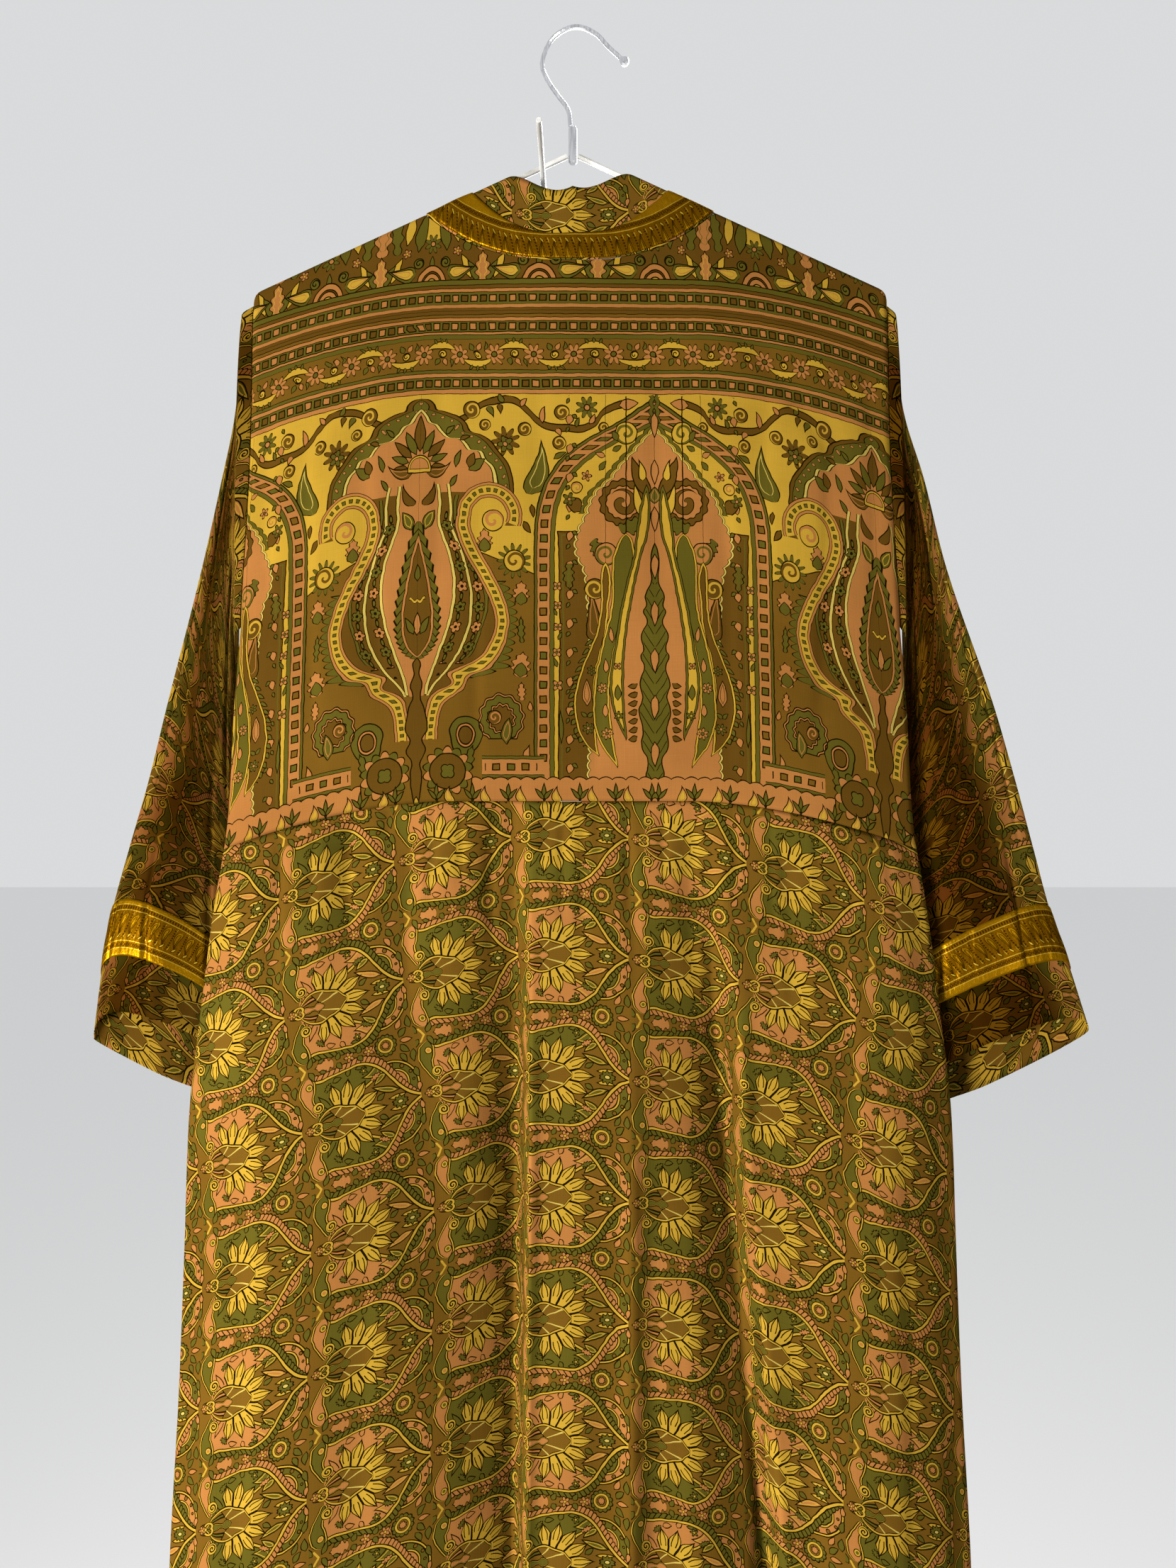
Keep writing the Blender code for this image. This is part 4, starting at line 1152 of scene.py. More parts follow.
# The beaded band of the big curled boteh, its distance from the axis at a depth below the arches' top
BEAD_ROUTE = ((84, 34.2), (92, 33.8), (99, 35.6), (110.5, 40.6), (128, 50.8), (142.5, 58), (156.5, 62.3),
              (168.5, 61.6), (181.5, 56.5), (190, 49.3), (196, 39.5), (199.5, 31.6), (206, 30.4), (210.5, 25),
              (215, 18.5), (220, 14.2), (230, 11.6), (248, 10))
BEAD_SLOPE = ((84, 1), (99, 0.92), (110, 0.86), (128, 0.88), (142, 0.93), (160, 1), (172, 0.97),
              (181, 0.82), (190, 0.62), (196, 0.42), (200, 0.6), (206, 0.95), (210, 0.62), (216, 0.65),
              (222, 0.88), (230, 1))
INNER_LINE = ((60, 14), (76, 16), (89, 15.4), (100, 19), (113.5, 24), (135, 27.5), (160, 24),
              (186, 15), (204, 8.6), (214, 6.5))
OUTER_LINE = ((60, 22), (76, 24.6), (91.5, 24.8), (104, 29.8), (117.5, 34.7), (142, 39.8), (168, 36.9),
              (192, 25), (209, 10.8), (216, 7))
GREEN_LINE = ((70, 29), (90, 28.4), (102, 32.5), (118, 41.5), (136, 49.8), (150, 51), (166, 46.5),
              (186, 37.4), (188, 34))
DROP_BORDER = ((88, 0), (91, 2.2), (100, 5.4), (118, 10.2), (138, 14.2), (158, 16.4), (172, 14.8),
               (183, 8.6), (188, 0))
STEM_FORM = ((186, 0), (190, 3), (198, 2.4), (206, 4.6), (214, 3.2), (224, 6.2), (238, 8.4), (246, 5),
             (254, 7.4), (262, 3.4), (270, 4.6), (292, 2))
CYPRESS_FORM = ((104, 0), (110, 2.4), (122, 3.6), (132, 3), (143, 7.4), (150, 6.6), (154, 8.6),
                (160, 6), (172, 10.4), (182, 8.6), (186, 10.8), (194, 8.2), (206, 11.4), (216, 9.4),
                (226, 11.8), (240, 9), (252, 10), (262, 5.5), (274, 7), (286, 2.5), (294, 2.5))
SPANDREL_CURLS = (((40, -182), 6.6), ((50, -193), 4.4), ((79, -196), 5.2), ((104, -206), 5),
                  ((106, -184), 5.6), ((136, -195), 4))
VINE_ROUTE = ((30, -190), (37.5, -186), (47.5, -178.6), (58, -175.4), (71, -175.2), (81, -182.7),
              (88.5, -190), (97, -194.3), (110, -195.4), (121.5, -195.7), (130, -191.4), (136, -184),
              (143.5, -179.9), (150, -178))

# Leaves in the arch field: place of the base as (distance from the lobed axis, height), then the leaf
FIELD_LEAVES = table(Leaf,
    (82, -243, 78, 41, 8.2, "green", DROP, -0.55, "pale"), (64, -177, 118, 8, 2.4, "green", LEAF, 0.3),
    (52, -180, -62, 9, 2.6, "green", DROP, 0.3), (60, -178, -78, 8, 2.4, "brown", DROP, 0.2),
    (76, -180, 52, 8, 2.2, "salmon", LEAF, 0.2), (92, -192, 82, 13, 2.4, "salmon", LEAF, 0.5),
    (102, -196, -62, 7, 2.4, "salmon", DROP, 0.3), (116, -195, 70, 8, 2, "green", LEAF, 0.2),
    (126, -193, 64, 9, 2.2, "salmon", LEAF, -0.2), (147, -179, 8, 15, 4.2, "salmon"),
    (100, -218, 28, 11, 2.4, "green", LEAF, 0.3), (84, -250, -84, 10, 2.2, "brown", LEAF, 0.1),
    (78, -262, -58, 11, 2.6, "brown", LEAF, -0.2), (72, -266, 60, 8, 2.4, "green", LEAF, 0.2),
    (76, -322, 88, 17, 6.4, "salmon", SAW), (76, -323, 84, 10, 4.6, "green"),
    (76, -375, 84, 19, 7.6, "salmon", SAW, 0.1), (75.5, -375, 84, 11, 5, "green"),
    (77, -350, 92, 20, 3, "green", SAW, 0.1), (77, -392, 92, 14, 3.6, "salmon", SAW),
    (84, -400, 100, 8, 2.2, "salmon", LEAF, 0.2), (80, -434, 76, 11, 2.6, "salmon", DROP, 0.2),
)
LOBED_LEAVES = table(Leaf,
    (0, -212, 90, 27, 4.6, "brown"), (2.5, -214, 64, 20, 3.6, "green"), (6, -216, 44, 19, 3.4, "brown"),
    (8, -219, 22, 15, 3, "green"), (8.5, -223, 2, 12, 2.8, "brown"),
    (5, -226, 20, 21, 4.4, "brown", DROP, -0.9, "salmon"), (3, -250, 62, 19, 3.8, "brown", DROP, -0.8),
    (5, -268, 62, 16, 4.6, "green", LEAF, 0.2, "yellow"), (28, -224, 72, 14, 2.4, "green", LEAF, 0.4),
    (24, -238, 58, 11, 2.2, "green", LEAF, 0.3), (38, -226, 36, 15, 4.2, "green"),
    (38, -224, 72, 12, 3.6, "brown"), (20, -200, 44, 10, 2, "green", LEAF, 0.3),
    (31, -204, 18, 9, 2, "brown", LEAF, 0.3),
)
# Leaves in the pointed arch, from its own axis
POINTED_LEAVES = table(Leaf,
    (2, -246, 64, 34, 5.2, "brown", LEAF, -0.4), (0, -250, 90, 13, 5, "green", LEAF, 0, "salmon"),
    (9, -233, 78, 16, 3.2, "yellow", DROP, 0.4), (8, -262, 76, 28, 3.4, "yellow", LEAF, -0.3),
    (54, -256, 36, 14, 5.4, "brown", LEAF, 0.4), (26, -268, 158, 24, 6.6, "green", SAW, 0.3),
    (45, -276, 236, 17, 5.6, "green", SAW, 0.2), (44.5, -349, 86, 40, 5.8, "brown", DROP, 0.2, "salmon"),
    (62, -293, 268, 20, 4.6, "green", SAW, 0.2, "brown"),
)
# The tall botehs beside the cypress, outermost first: their middle lines and half widths by depth
Column = namedtuple("Column", "middle half edge fill")
COLUMNS = table(Column,
    (((118, 36), (150, 36.5), (172.5, 40), (187, 45), (209, 50.5), (227.5, 50.8), (249.5, 46.5), (258, 41)),
     ((118, 0), (124, 3), (150, 3.2), (172.5, 4.2), (187, 5.2), (209, 7.2), (227.5, 8), (249.5, 4.6),
      (259, 0)), "yellow", "brown"),
    (((98, 21), (106.5, 21.6), (154.5, 28), (181.5, 34), (211.5, 38.7), (242.5, 36.5), (266.5, 27)),
     ((98, 0), (102, 4.6), (154.5, 4.8), (181.5, 5.6), (211.5, 6), (242.5, 6.2), (260, 2.6), (268, 0)),
     "yellow", "green"),
    (((64, 6), (100.5, 9.8), (135.5, 18), (176.5, 25), (214.5, 27.4), (245.5, 21)),
     ((62, 0), (70, 2.6), (100.5, 4.6), (112, 3.2), (135.5, 3.6), (176.5, 4), (214.5, 5.2), (236, 2.8),
      (248, 0)), "green", "yellow"),
)
BOTEH_EDGE = ((172, 44), (187, 50.2), (209, 57.7), (227.5, 58.8), (249.5, 51), (258, 43))
Bloom = namedtuple("Bloom", "x y radius petals fill heart")
POINTED_BLOOMS = table(Bloom,
    (27.2, -367, 3.2, 4, "salmon", "brown"), (26.3, -403, 3.8, 6, "green", "yellow"),
    (38.3, -382.8, 4.4, 7, "salmon", "green"), (34.6, -416, 4.8, 7, "salmon", "green"),
    (46.2, -370, 3.8, 6, "green", "brown"), (48.4, -412, 4.6, 7, "green", "salmon"),
    (71, -309, 3.9, 4, "salmon", "green"), (70.6, -323, 3.9, 4, "salmon", "green"),
    (70.4, -338.5, 3.9, 4, "salmon", "green"), (71.2, -357, 4.2, 4, "salmon", "green"),
    (70.6, -381, 4.6, 4, "salmon", "green"), (62.2, -246.6, 5.2, 5, "green", "salmon"),
    (49.7, -230, 4.2, 5, "salmon", "brown"),
)
POINTED_BUDS = table(Leaf,
    (27, -392, 90, 12, 2.6, "green"), (35.4, -372, 88, 11, 2.2, "salmon"), (36, -404, 92, 10, 2.4, "salmon"),
    (31, -350, 84, 12, 2, "salmon"), (49.4, -396, 90, 20, 3.6, "salmon", LEAF, 0, "brown"),
    (49.2, -404, 40, 6, 1.8, "green"), (49.2, -404, 140, 6, 1.8, "green"), (41, -226, 130, 9, 2.4, "green"),
    (36, -216, 20, 8, 2.2, "salmon"), (31, -212, 150, 8, 2.2, "green"),
    (27, -205, 60, 9, 2.6, "green", LEAF, 0.2), (70.8, -330.5, 60, 6, 1.4, "green"),
    (70.6, -348, 120, 7, 1.5, "green"), (70.8, -368, 70, 8, 1.6, "green"),
    (68, -424, 88, 26, 1.8, "green", LEAF, 0.2),
)


FRIEZE_PITCH = 85.5
FRIEZE_START = 21.6 - FRIEZE_PITCH / 2
FRIEZE_LEAVES = table(Leaf,
    (42.7, -56, 90, 26, 13, "yellow"), (30, -62, 78, 34, 5, "green", LEAF, 0.2),
    (13, -62, 96, 40, 5.6, "green", SAW), (20, -56, 84, 30, 4.2, "yellow", LEAF, -0.3),
    (0, -62, 90, 40, 8, "salmon", SAW, 0, "green"), (9, -84, 66, 22, 3.6, "yellow", LEAF, 0.3),
    (3, -87, 62, 20, 3.6, "green", LEAF, 0.3), (0, -88, 90, 27, 6.4, "salmon", SAW, 0, "yellow"),
    (29, -79, 168, 24, 6.6, "green", DROP, 0.2), (27, -78.6, 168, 20, 4.4, "yellow", DROP, 0.2, "salmon"),
    (42.7, -76, 90, 11, 2.4, "green"),
)


def stripes(tree, place, rows, deepest):
    """Inks in stripes down the cloth, from (height of the top edge, ink)."""
    node = tree.nodes.new("ShaderNodeValToRGB")
    ramp = node.color_ramp
    ramp.interpolation = "CONSTANT"
    top = rows[0][0]
    while len(ramp.elements) > 1:
        ramp.elements.remove(ramp.elements[-1])
    for k, (z, ink) in enumerate(rows):
        element = ramp.elements[0] if k == 0 else ramp.elements.new((top - z) / (top - deepest))
        element.position = (top - z) / (top - deepest)
        element.color = INK[ink]
    share = (place - top) * (-1 / (top - deepest))
    tree.links.new(share.source, node.inputs[0])
    return node.outputs[0]


def draw_squares(sheet, along, across, pitch, half_long, half_high, first, second, where=None):
    """A row of small outlined squares, in two inks by turns."""
    turns = along / pitch
    whole = turns.floor()
    off = abs(turns - whole - 0.5) * pitch
    inside = (half_long - off).least(half_high - abs(across))
    if where is not None:
        inside = inside.least(where)
    ink = sheet.choose((whole * 0.5).fraction() > 0.25, first, second)
    sheet.shape(inside, ink, 0.55)


def draw_flower(sheet, x, y, place, radius, petals, fill, heart):
    """A round flower of separate petals about a small heart."""
    away, angle = polar(x, y, place)
    form = abs((angle * (petals / 2)).sine())
    petal = radius - (1 - form) * (0.62 * radius) - away
    sheet.shape(petal, fill)
    sheet.lay((form < 0.16) * (away < radius * 0.62), "line")
    sheet.lay(away < radius * 0.3, "line")
    sheet.lay(away < radius * 0.2, heart)


def draw_curl(sheet, x, y, place, radius, turns, back, line):
    """A wound curl: a disc with a spiral line."""
    away, angle = polar(x, y, place)
    sheet.shape(radius - away, back)
    wound = (away * (turns / radius) + angle / (2 * pi)).fraction()
    sheet.lay((away < radius - 0.6) * (wound < 0.34), line)


def draw_frieze(sheet, x, y):
    """Small palmettes with a lying boteh at each side, and ringed mounds under tall leaves and flowers."""
    along, _ = repeat(x, FRIEZE_START, FRIEZE_PITCH)
    off = abs(along - FRIEZE_PITCH / 2)
    draw_leaves(sheet, off, y, FRIEZE_LEAVES)
    draw_curl(sheet, off, y, (31, -70.5), 4.4, 1.5, "green", "line")
    mound = length_of(off - FRIEZE_PITCH / 2, (y + 89) * 0.8)
    for radius, ink in ((13.2, "salmon"), (9.6, "brown"), (8.4, "salmon"), (5.2, "yellow")):
        sheet.shape(radius - mound, ink)
    draw_flower(sheet, off, y, (FRIEZE_PITCH / 2, -56), 8, 8, "green", "salmon")
    draw_flower(sheet, off, y, (21, -62), 4.2, 5, "salmon", "yellow")


def draw_vine_band(sheet, x, y):
    """Daisies with swirls between them, turned over by turns."""
    along, whole = repeat(x, 4, DAISY_PITCH)
    flip = (whole * 0.5).fraction() * 4 - 1
    high = (y - DAISY_Z) * flip
    from_daisy = along - DAISY_PITCH / 2
    arc = high + along.curve(((3, 3.6), (8, 5.9), (14.5, 7), (20, 6.2), (25, 3.4)))
    thick = along.curve(((3, 0.5), (10, 2.2), (15, 2.6), (22, 1.8), (26, 0.5)))
    swirl = thick - abs(arc)
    sheet.shape((swirl + 0.5) * along.between(4, 25), "yellow")
    draw_curl(sheet, from_daisy, high, (0.6, -0.4), 3.3, 1.3, "yellow", "line")
    draw_leaves(sheet, from_daisy, high, table(Leaf,
        (-1.5, 2.6, 118, 6.6, 2.3, "green"), (1.8, 2.6, 66, 6.6, 2.2, "salmon"),
        (-4, -7.6, 236, 4.8, 1.4, "green", LEAF, 0.2), (0, -8.2, 262, 4.6, 1.4, "green", LEAF, 0.2),
        (4, -7.6, 292, 4.8, 1.4, "green", LEAF, 0.2), (7.6, 3.6, 92, 6.4, 1.7, "green", DROP, -0.7),
    ), 0.45)
    shifted, _ = repeat(x, 4 - DAISY_PITCH / 2, DAISY_PITCH)
    draw_flower(sheet, shifted - DAISY_PITCH / 2, y, (0, DAISY_Z), 8.2, 8, "salmon", "green")


def draw_pointed_frame(sheet, q, y, depth):
    """The pointed arch with its frame of squares, its side strip and its scalloped field."""
    away = (depth.curve(POINTED_FORM) - q) * depth.curve(POINTED_SLOPE)
    reach = away * (depth > 0)
    sheet.shape(reach, "green")
    sheet.rims(reach, (2.3, "line"), (2.8, "salmon"))
    draw_squares(sheet, depth.curve(POINTED_LENGTH), away - 7.2, 10.6, 3, 2.9, "ground", "green",
                 where=(263 - depth))
    sheet.rims(away, (11.7, "line"), (12.2, "green"), (15, "line"), (15.5, "yellow"))
    # The salmon field with its scalloped edge, and the strip beside it
    field = (depth.curve(((20, -2), (28, 6), (36, 13), (48, 24), (58, 32), (70, 44), (84, 50),
                          (96, 56), (110, 58), (124, 52), (136, 50), (300, 50))) - q)
    scallop = abs((depth / 6.4).fraction() - 0.5)
    field = field - scallop * scallop * 7
    strip = (depth.curve(((96, 71), (104, 70.5), (240, 70.5))) - q).least(depth - 96)
    sheet.shape(strip, "brown")
    sheet.lay((strip > 2.4) * (strip < 3.4), "green")
    sheet.rims(field, (-1.6, "line"), (-1.2, "pale"), (0, "line"), (0.5, "salmon"))
    petals, _ = repeat(depth, 8, 21)
    draw_leaves(sheet, q, petals, table(Leaf,
        (61, 4, 78, 8, 3, "salmon"), (60, 4, 140, 5, 1.8, "green"), (62, 13, 60, 5, 1.6, "green"),
    ))
    horn = field + 4.6
    upper = depth < 84
    for edge, ink in ((-1.9, "line"), (-1.3, "green"), (1.3, "line")):
        sheet.lay((horn > edge) * (horn < 1.9) * upper, ink)
    draw_curl(sheet, q, y, (21, -199), 8.4, 1.5, "yellow", "green")
    draw_curl(sheet, q, y, (56.7, -238.4), 4.4, 1.4, "yellow", "salmon")


def draw_pointed_fingers(sheet, q, y, depth):
    """The serrated spirals, the hanging fingers and the cypress on the axis."""
    ring, angle = polar(q, y, (23.5, -249))
    teeth = (angle * 13).sine() * 0.8
    sheet.shape(teeth + 17 - ring, "brown")
    sheet.shape(12.4 - ring - teeth * 0.6, "salmon")
    spiral = (ring / 11 + angle / (2 * pi)).fraction()
    sheet.lay((ring < 10) * (spiral < 0.56), "line")
    sheet.lay((ring < 9.4) * spiral.between(0.05, 0.5), "brown")
    draw_leaves(sheet, q, y, POINTED_LEAVES, 0.6)
    draw_curl(sheet, q, y, (35.5, -286), 8.4, 1.6, "salmon", "green")
    draw_curl(sheet, q, y, (43.5, -311), 7.6, 1.5, "brown", "yellow")
    fringe, _ = repeat(depth, 0, 6.4)
    beside_boteh = q - depth.curve(BOTEH_EDGE) + (1 - depth.between(174, 252)) * OUT_OF_REACH
    draw_leaf(sheet, beside_boteh, fringe, Leaf(0, 1, 52, 6.4, 1.9, "green", LEAF, 0.2))
    comb = q + (1 - depth.between(206, 250)) * OUT_OF_REACH
    draw_leaf(sheet, comb, fringe, Leaf(12.5, 1.2, 18, 7.6, 2.4, "brown", LEAF, 0.4))
    for column in COLUMNS:
        inside = depth.curve(column.half) - abs(q - depth.curve(column.middle))
        sheet.shape(inside, column.edge, 0.2)
        sheet.lay(inside > 1.7, "line")
        sheet.lay(inside > 2.2, column.fill)
    cypress = depth.curve(CYPRESS_FORM) - q
    sheet.shape(cypress, "green", 0.6)
    vein, _ = repeat(depth + q * 1.6, 0, 9)
    sheet.lay((cypress > 1.4) * (vein < 1) * (q > 0.8), "line")
    bud, _ = repeat(depth, 8, 34)
    draw_leaf(sheet, q, bud, Leaf(0, 2, 90, 19, 3.2, "salmon"))


def draw_lobed_frame(sheet, v, y, depth):
    """The lobed arch's cusped band, and its field."""
    away = (depth.curve(LOBED_FORM) - v) * depth.curve(LOBED_SLOPE)
    reach = away * depth.between(0, 86)
    sheet.shape(reach, "brown")
    sheet.rims(reach, (3, "line"), (3.5, "green"))
    sprig, _ = repeat(depth + v * 0.8, 0, 8)
    sheet.rings(length_of(sprig - 4, (reach - 6) * 0.9), (1.5, "line"), (1.05, "salmon"))
    cusp = (depth.curve(CUSP_FORM) - v) * depth.between(0, 86)
    sheet.rims(cusp, (0, "line"), (0.9, "pale"), (3, "line"), (3.8, "salmon"))


def draw_lobed_beads(sheet, v, y, depth):
    """The big botehs: nested bands of blossoms inside a beaded band, which curls at its top."""
    ring, bearing = polar(v, y, (53, -258.5))
    upper = (y > -259).most((v > 50) * (y > -266))
    route = depth.curve(BEAD_ROUTE)
    beside = (v - route) * depth.curve(BEAD_SLOPE)
    lower = depth.between(84.5, 246)
    inner_ring = ring - 18.6
    coil = upper * (bearing > -0.35)

    # Inside the botehs
    body = ((beside < 0) * depth.between(84.5, 214)).most((ring < 20) * upper)
    sheet.lay(body, "brown")
    sheet.lay((depth.between(68, 86)) * (v < 40) * (v > 15), "brown")
    sheet.lay((ring < 14) * (y > -292), "yellow")
    for form, start, end, ink in (
        (GREEN_LINE, 70, 187, "green"), (OUTER_LINE, 62, 214, "pale"), (INNER_LINE, 62, 213, "pale"),
    ):
        line = abs(v - depth.curve(form))
        part = depth.between(start, end)
        sheet.lay((line < 1.5) * part, "line")
        sheet.lay((line < 0.95) * part, ink)
    core = (depth.curve(INNER_LINE) - v - 1.4) * depth.between(68, 214)
    sheet.lay(core > 0, "salmon")
    step, turn = repeat(depth, 70, 14.6)
    for route_form, shift in ((INNER_LINE, 5.6), (OUTER_LINE, 5.4)):
        place = v - depth.curve(route_form) - shift
        away_from = length_of(place, step - 7.3)
        angle = (step - 7.3).angle(place)
        bloom = abs((angle * 2.5).sine()) * 1.7 + 2.9 - away_from
        bloom = bloom.least(depth - 88).least(192 - depth)
        sheet.shape(bloom, sheet.choose((turn * 0.5).fraction() > 0.25, "salmon", "green"))
        sheet.lay((away_from < 1.2) * (bloom > 0), "line")
        sprout = 1.5 - length_of(place, (abs(step - 7.3) - 7) * 0.5)
        sheet.shape(sprout.least(depth - 80).least(200 - depth), "green", 0.4)

    # Scallops outside the band, then the band itself
    scales, _ = repeat(depth, 0, 5.6)
    bump = 11.6 - abs(scales - 2.8) * abs(scales - 2.8) * 0.62 - beside
    outside = bump.least(beside).least(depth - 132).least(202 - depth)
    sheet.shape(outside, "green")
    for where, offset, along, pitch in (
        (lower, beside, depth * 1.1, 5.6), (coil, inner_ring, bearing * 18.6, 5.4),
    ):
        away = abs(offset)
        for half, ink in ((5.6, "line"), (5.1, "salmon"), (3.6, "line"), (3.15, "yellow")):
            sheet.lay((away < half) * where, ink)
        from_bead = abs(repeat(along, 0, pitch)[0] - pitch / 2)
        for half, ink in ((1.5, "line"), (1.05, "green")):
            sheet.lay((from_bead < half) * (away < half) * where, ink)
    draw_curl(sheet, v, y, (56, -262), 8, 1.2, "yellow", "salmon")
    draw_leaf(sheet, v, y, Leaf(50, -284, 92, 17, 6, "salmon", SAW))
    draw_leaf(sheet, v, y, Leaf(50, -285, 92, 11, 4.6, "green"))


def draw_lobed_palmette(sheet, v, y, depth):
    """The palmette, the serrated drop under it and the stem on the axis."""
    draw_leaves(sheet, v, y, LOBED_LEAVES)
    dome = 9.2 - length_of(v, (y + 224) * 0.9)
    sheet.shape(dome.least(y + 227), "yellow")
    sheet.rims(dome.least(y + 226), (1.8, "line"), (2.3, "salmon"))
    drop = depth.curve(DROP_BORDER) - v
    teeth, _ = repeat(depth - v * 1.2, 0, 6.2)
    saw = drop - teeth * 0.32 + 1.6
    sheet.shape(saw * depth.between(88, 188.5), "green", 0.6)
    sheet.lay((drop > 0.6) * (teeth < 0.9), "line")
    sheet.rims(drop, (4.2, "line"), (4.7, "salmon"), (6.2, "line"), (6.7, "brown"))
    draw_leaves(sheet, v, y, table(Leaf,
        (0, -344, 90, 18, 3, "salmon"), (2, -343, 62, 15, 2.8, "green"), (0, -305, 90, 13, 2.6, "green"),
    ))
    wave = abs((v * 0.9).sine() * 1.4 + y + 318)
    sheet.lay((wave < 1.3) * (v < 6), "line")
    sheet.lay((wave < 0.8) * (v < 5.6), "yellow")
    stem = depth.curve(STEM_FORM) - v
    sheet.shape(stem, "brown", 0.6)


def draw_corner(sheet, v, y):
    """The field's lower corners: the small serrated botehs, and the round flowers beside the stem."""
    out_x, out_y = v - 62, y + 405
    angle = out_y.angle(out_x)
    ring = length_of(out_x, out_y * 0.92)
    teeth = (angle * 12).sine() * 0.7
    above = out_y + 6
    for inner, ink in ((0, "salmon"), (1.6, "green"), (6.6, "salmon"), (8.2, "brown")):
        sheet.shape((teeth + 17 - ring - inner).least(above + 9), ink)
    draw_curl(sheet, v, y, (57, -404), 5.4, 1.5, "brown", "salmon")
    draw_leaf(sheet, v, y, Leaf(66, -424, 84, 20, 4.4, "green", LEAF, 0.3, "salmon"))
    tail_x, tail_y = v - 36, y + 417
    swirl = 12 - length_of(tail_x, tail_y * 0.8)
    sheet.shape(swirl + teeth, "green", 0.6)
    sheet.shape(swirl - 4.6, "salmon")
    sheet.shape(swirl - 6.4, "brown")
    draw_leaf(sheet, v, y, Leaf(36, -447, 76, 24, 4.6, "green", SAW, 0.2))
    disc, angle = polar(v, y, (23, -443))
    petal = abs((angle * 7).sine()) * 3 + 15.6 - disc
    step = (angle * (7 / pi)).floor()
    sheet.shape(petal, sheet.choose((step * 0.5).fraction() > 0.25, "green", "salmon"), 0.6)
    sheet.shape(13.4 - disc, "brown", 0.6)
    heart = abs((angle * 2).sine()) * 1.6 + 4.4 - disc
    sheet.shape(heart, "green")


def draw_bands(tree, x, y):
    """The yoke's print above the arches: the frieze, the stripes and the vine band."""
    sheet = Print(tree, "brown")
    in_group(sheet, "frieze", draw_frieze, x, y)
    sheet.lay(y < YOKE_STRIPES[0][0], stripes(tree, y, YOKE_STRIPES, -154))
    sheet.lay(y < LOWER_STRIPES[0][0], stripes(tree, y, LOWER_STRIPES, -172))
    for height in SQUARE_ROWS:
        draw_squares(sheet, x, y - height, SQUARE_PITCH, 2.9, 2.9, "salmon", "brown")
    in_group(sheet, "vine", draw_vine_band, x, y)
    return sheet.colour


def draw_spandrel(sheet, v, y, pointed):
    """What fills the corners between the arches, as far as it reaches into one arch's half of the repeat."""
    vine = 2.5 - abs(y - v.curve(VINE_ROUTE)) * 0.85
    sheet.shape(vine.least(v - 30).least(150 - v), "brown", 0.45)
    for place, size in SPANDREL_CURLS:
        if pointed == (place[0] > ARCH_BORDER):
            draw_curl(sheet, v, y, place, size, 1.5, "brown", "yellow")
    if pointed:
        draw_flower(sheet, v, y, (124, -180.5), 8.4, 8, "green", "salmon")
    else:
        draw_flower(sheet, v, y, (65, -205), 11, 9, "brown", "salmon")
        draw_flower(sheet, v, y, (65, -207), 6.4, 5, "green", "salmon")
    for leaf in FIELD_LEAVES:
        if leaf.x > ARCH_BORDER - 12 if pointed else leaf.x < ARCH_BORDER + 8:
            draw_leaf(sheet, v, y, leaf)


def draw_pointed_blooms(sheet, q, y):
    """The small flowers and buds in the pointed arch's botehs and strips."""
    draw_leaves(sheet, q, y, POINTED_BUDS, 0.4)
    for bloom in POINTED_BLOOMS:
        draw_flower(sheet, q, y, (bloom.x, bloom.y), *bloom[2:])


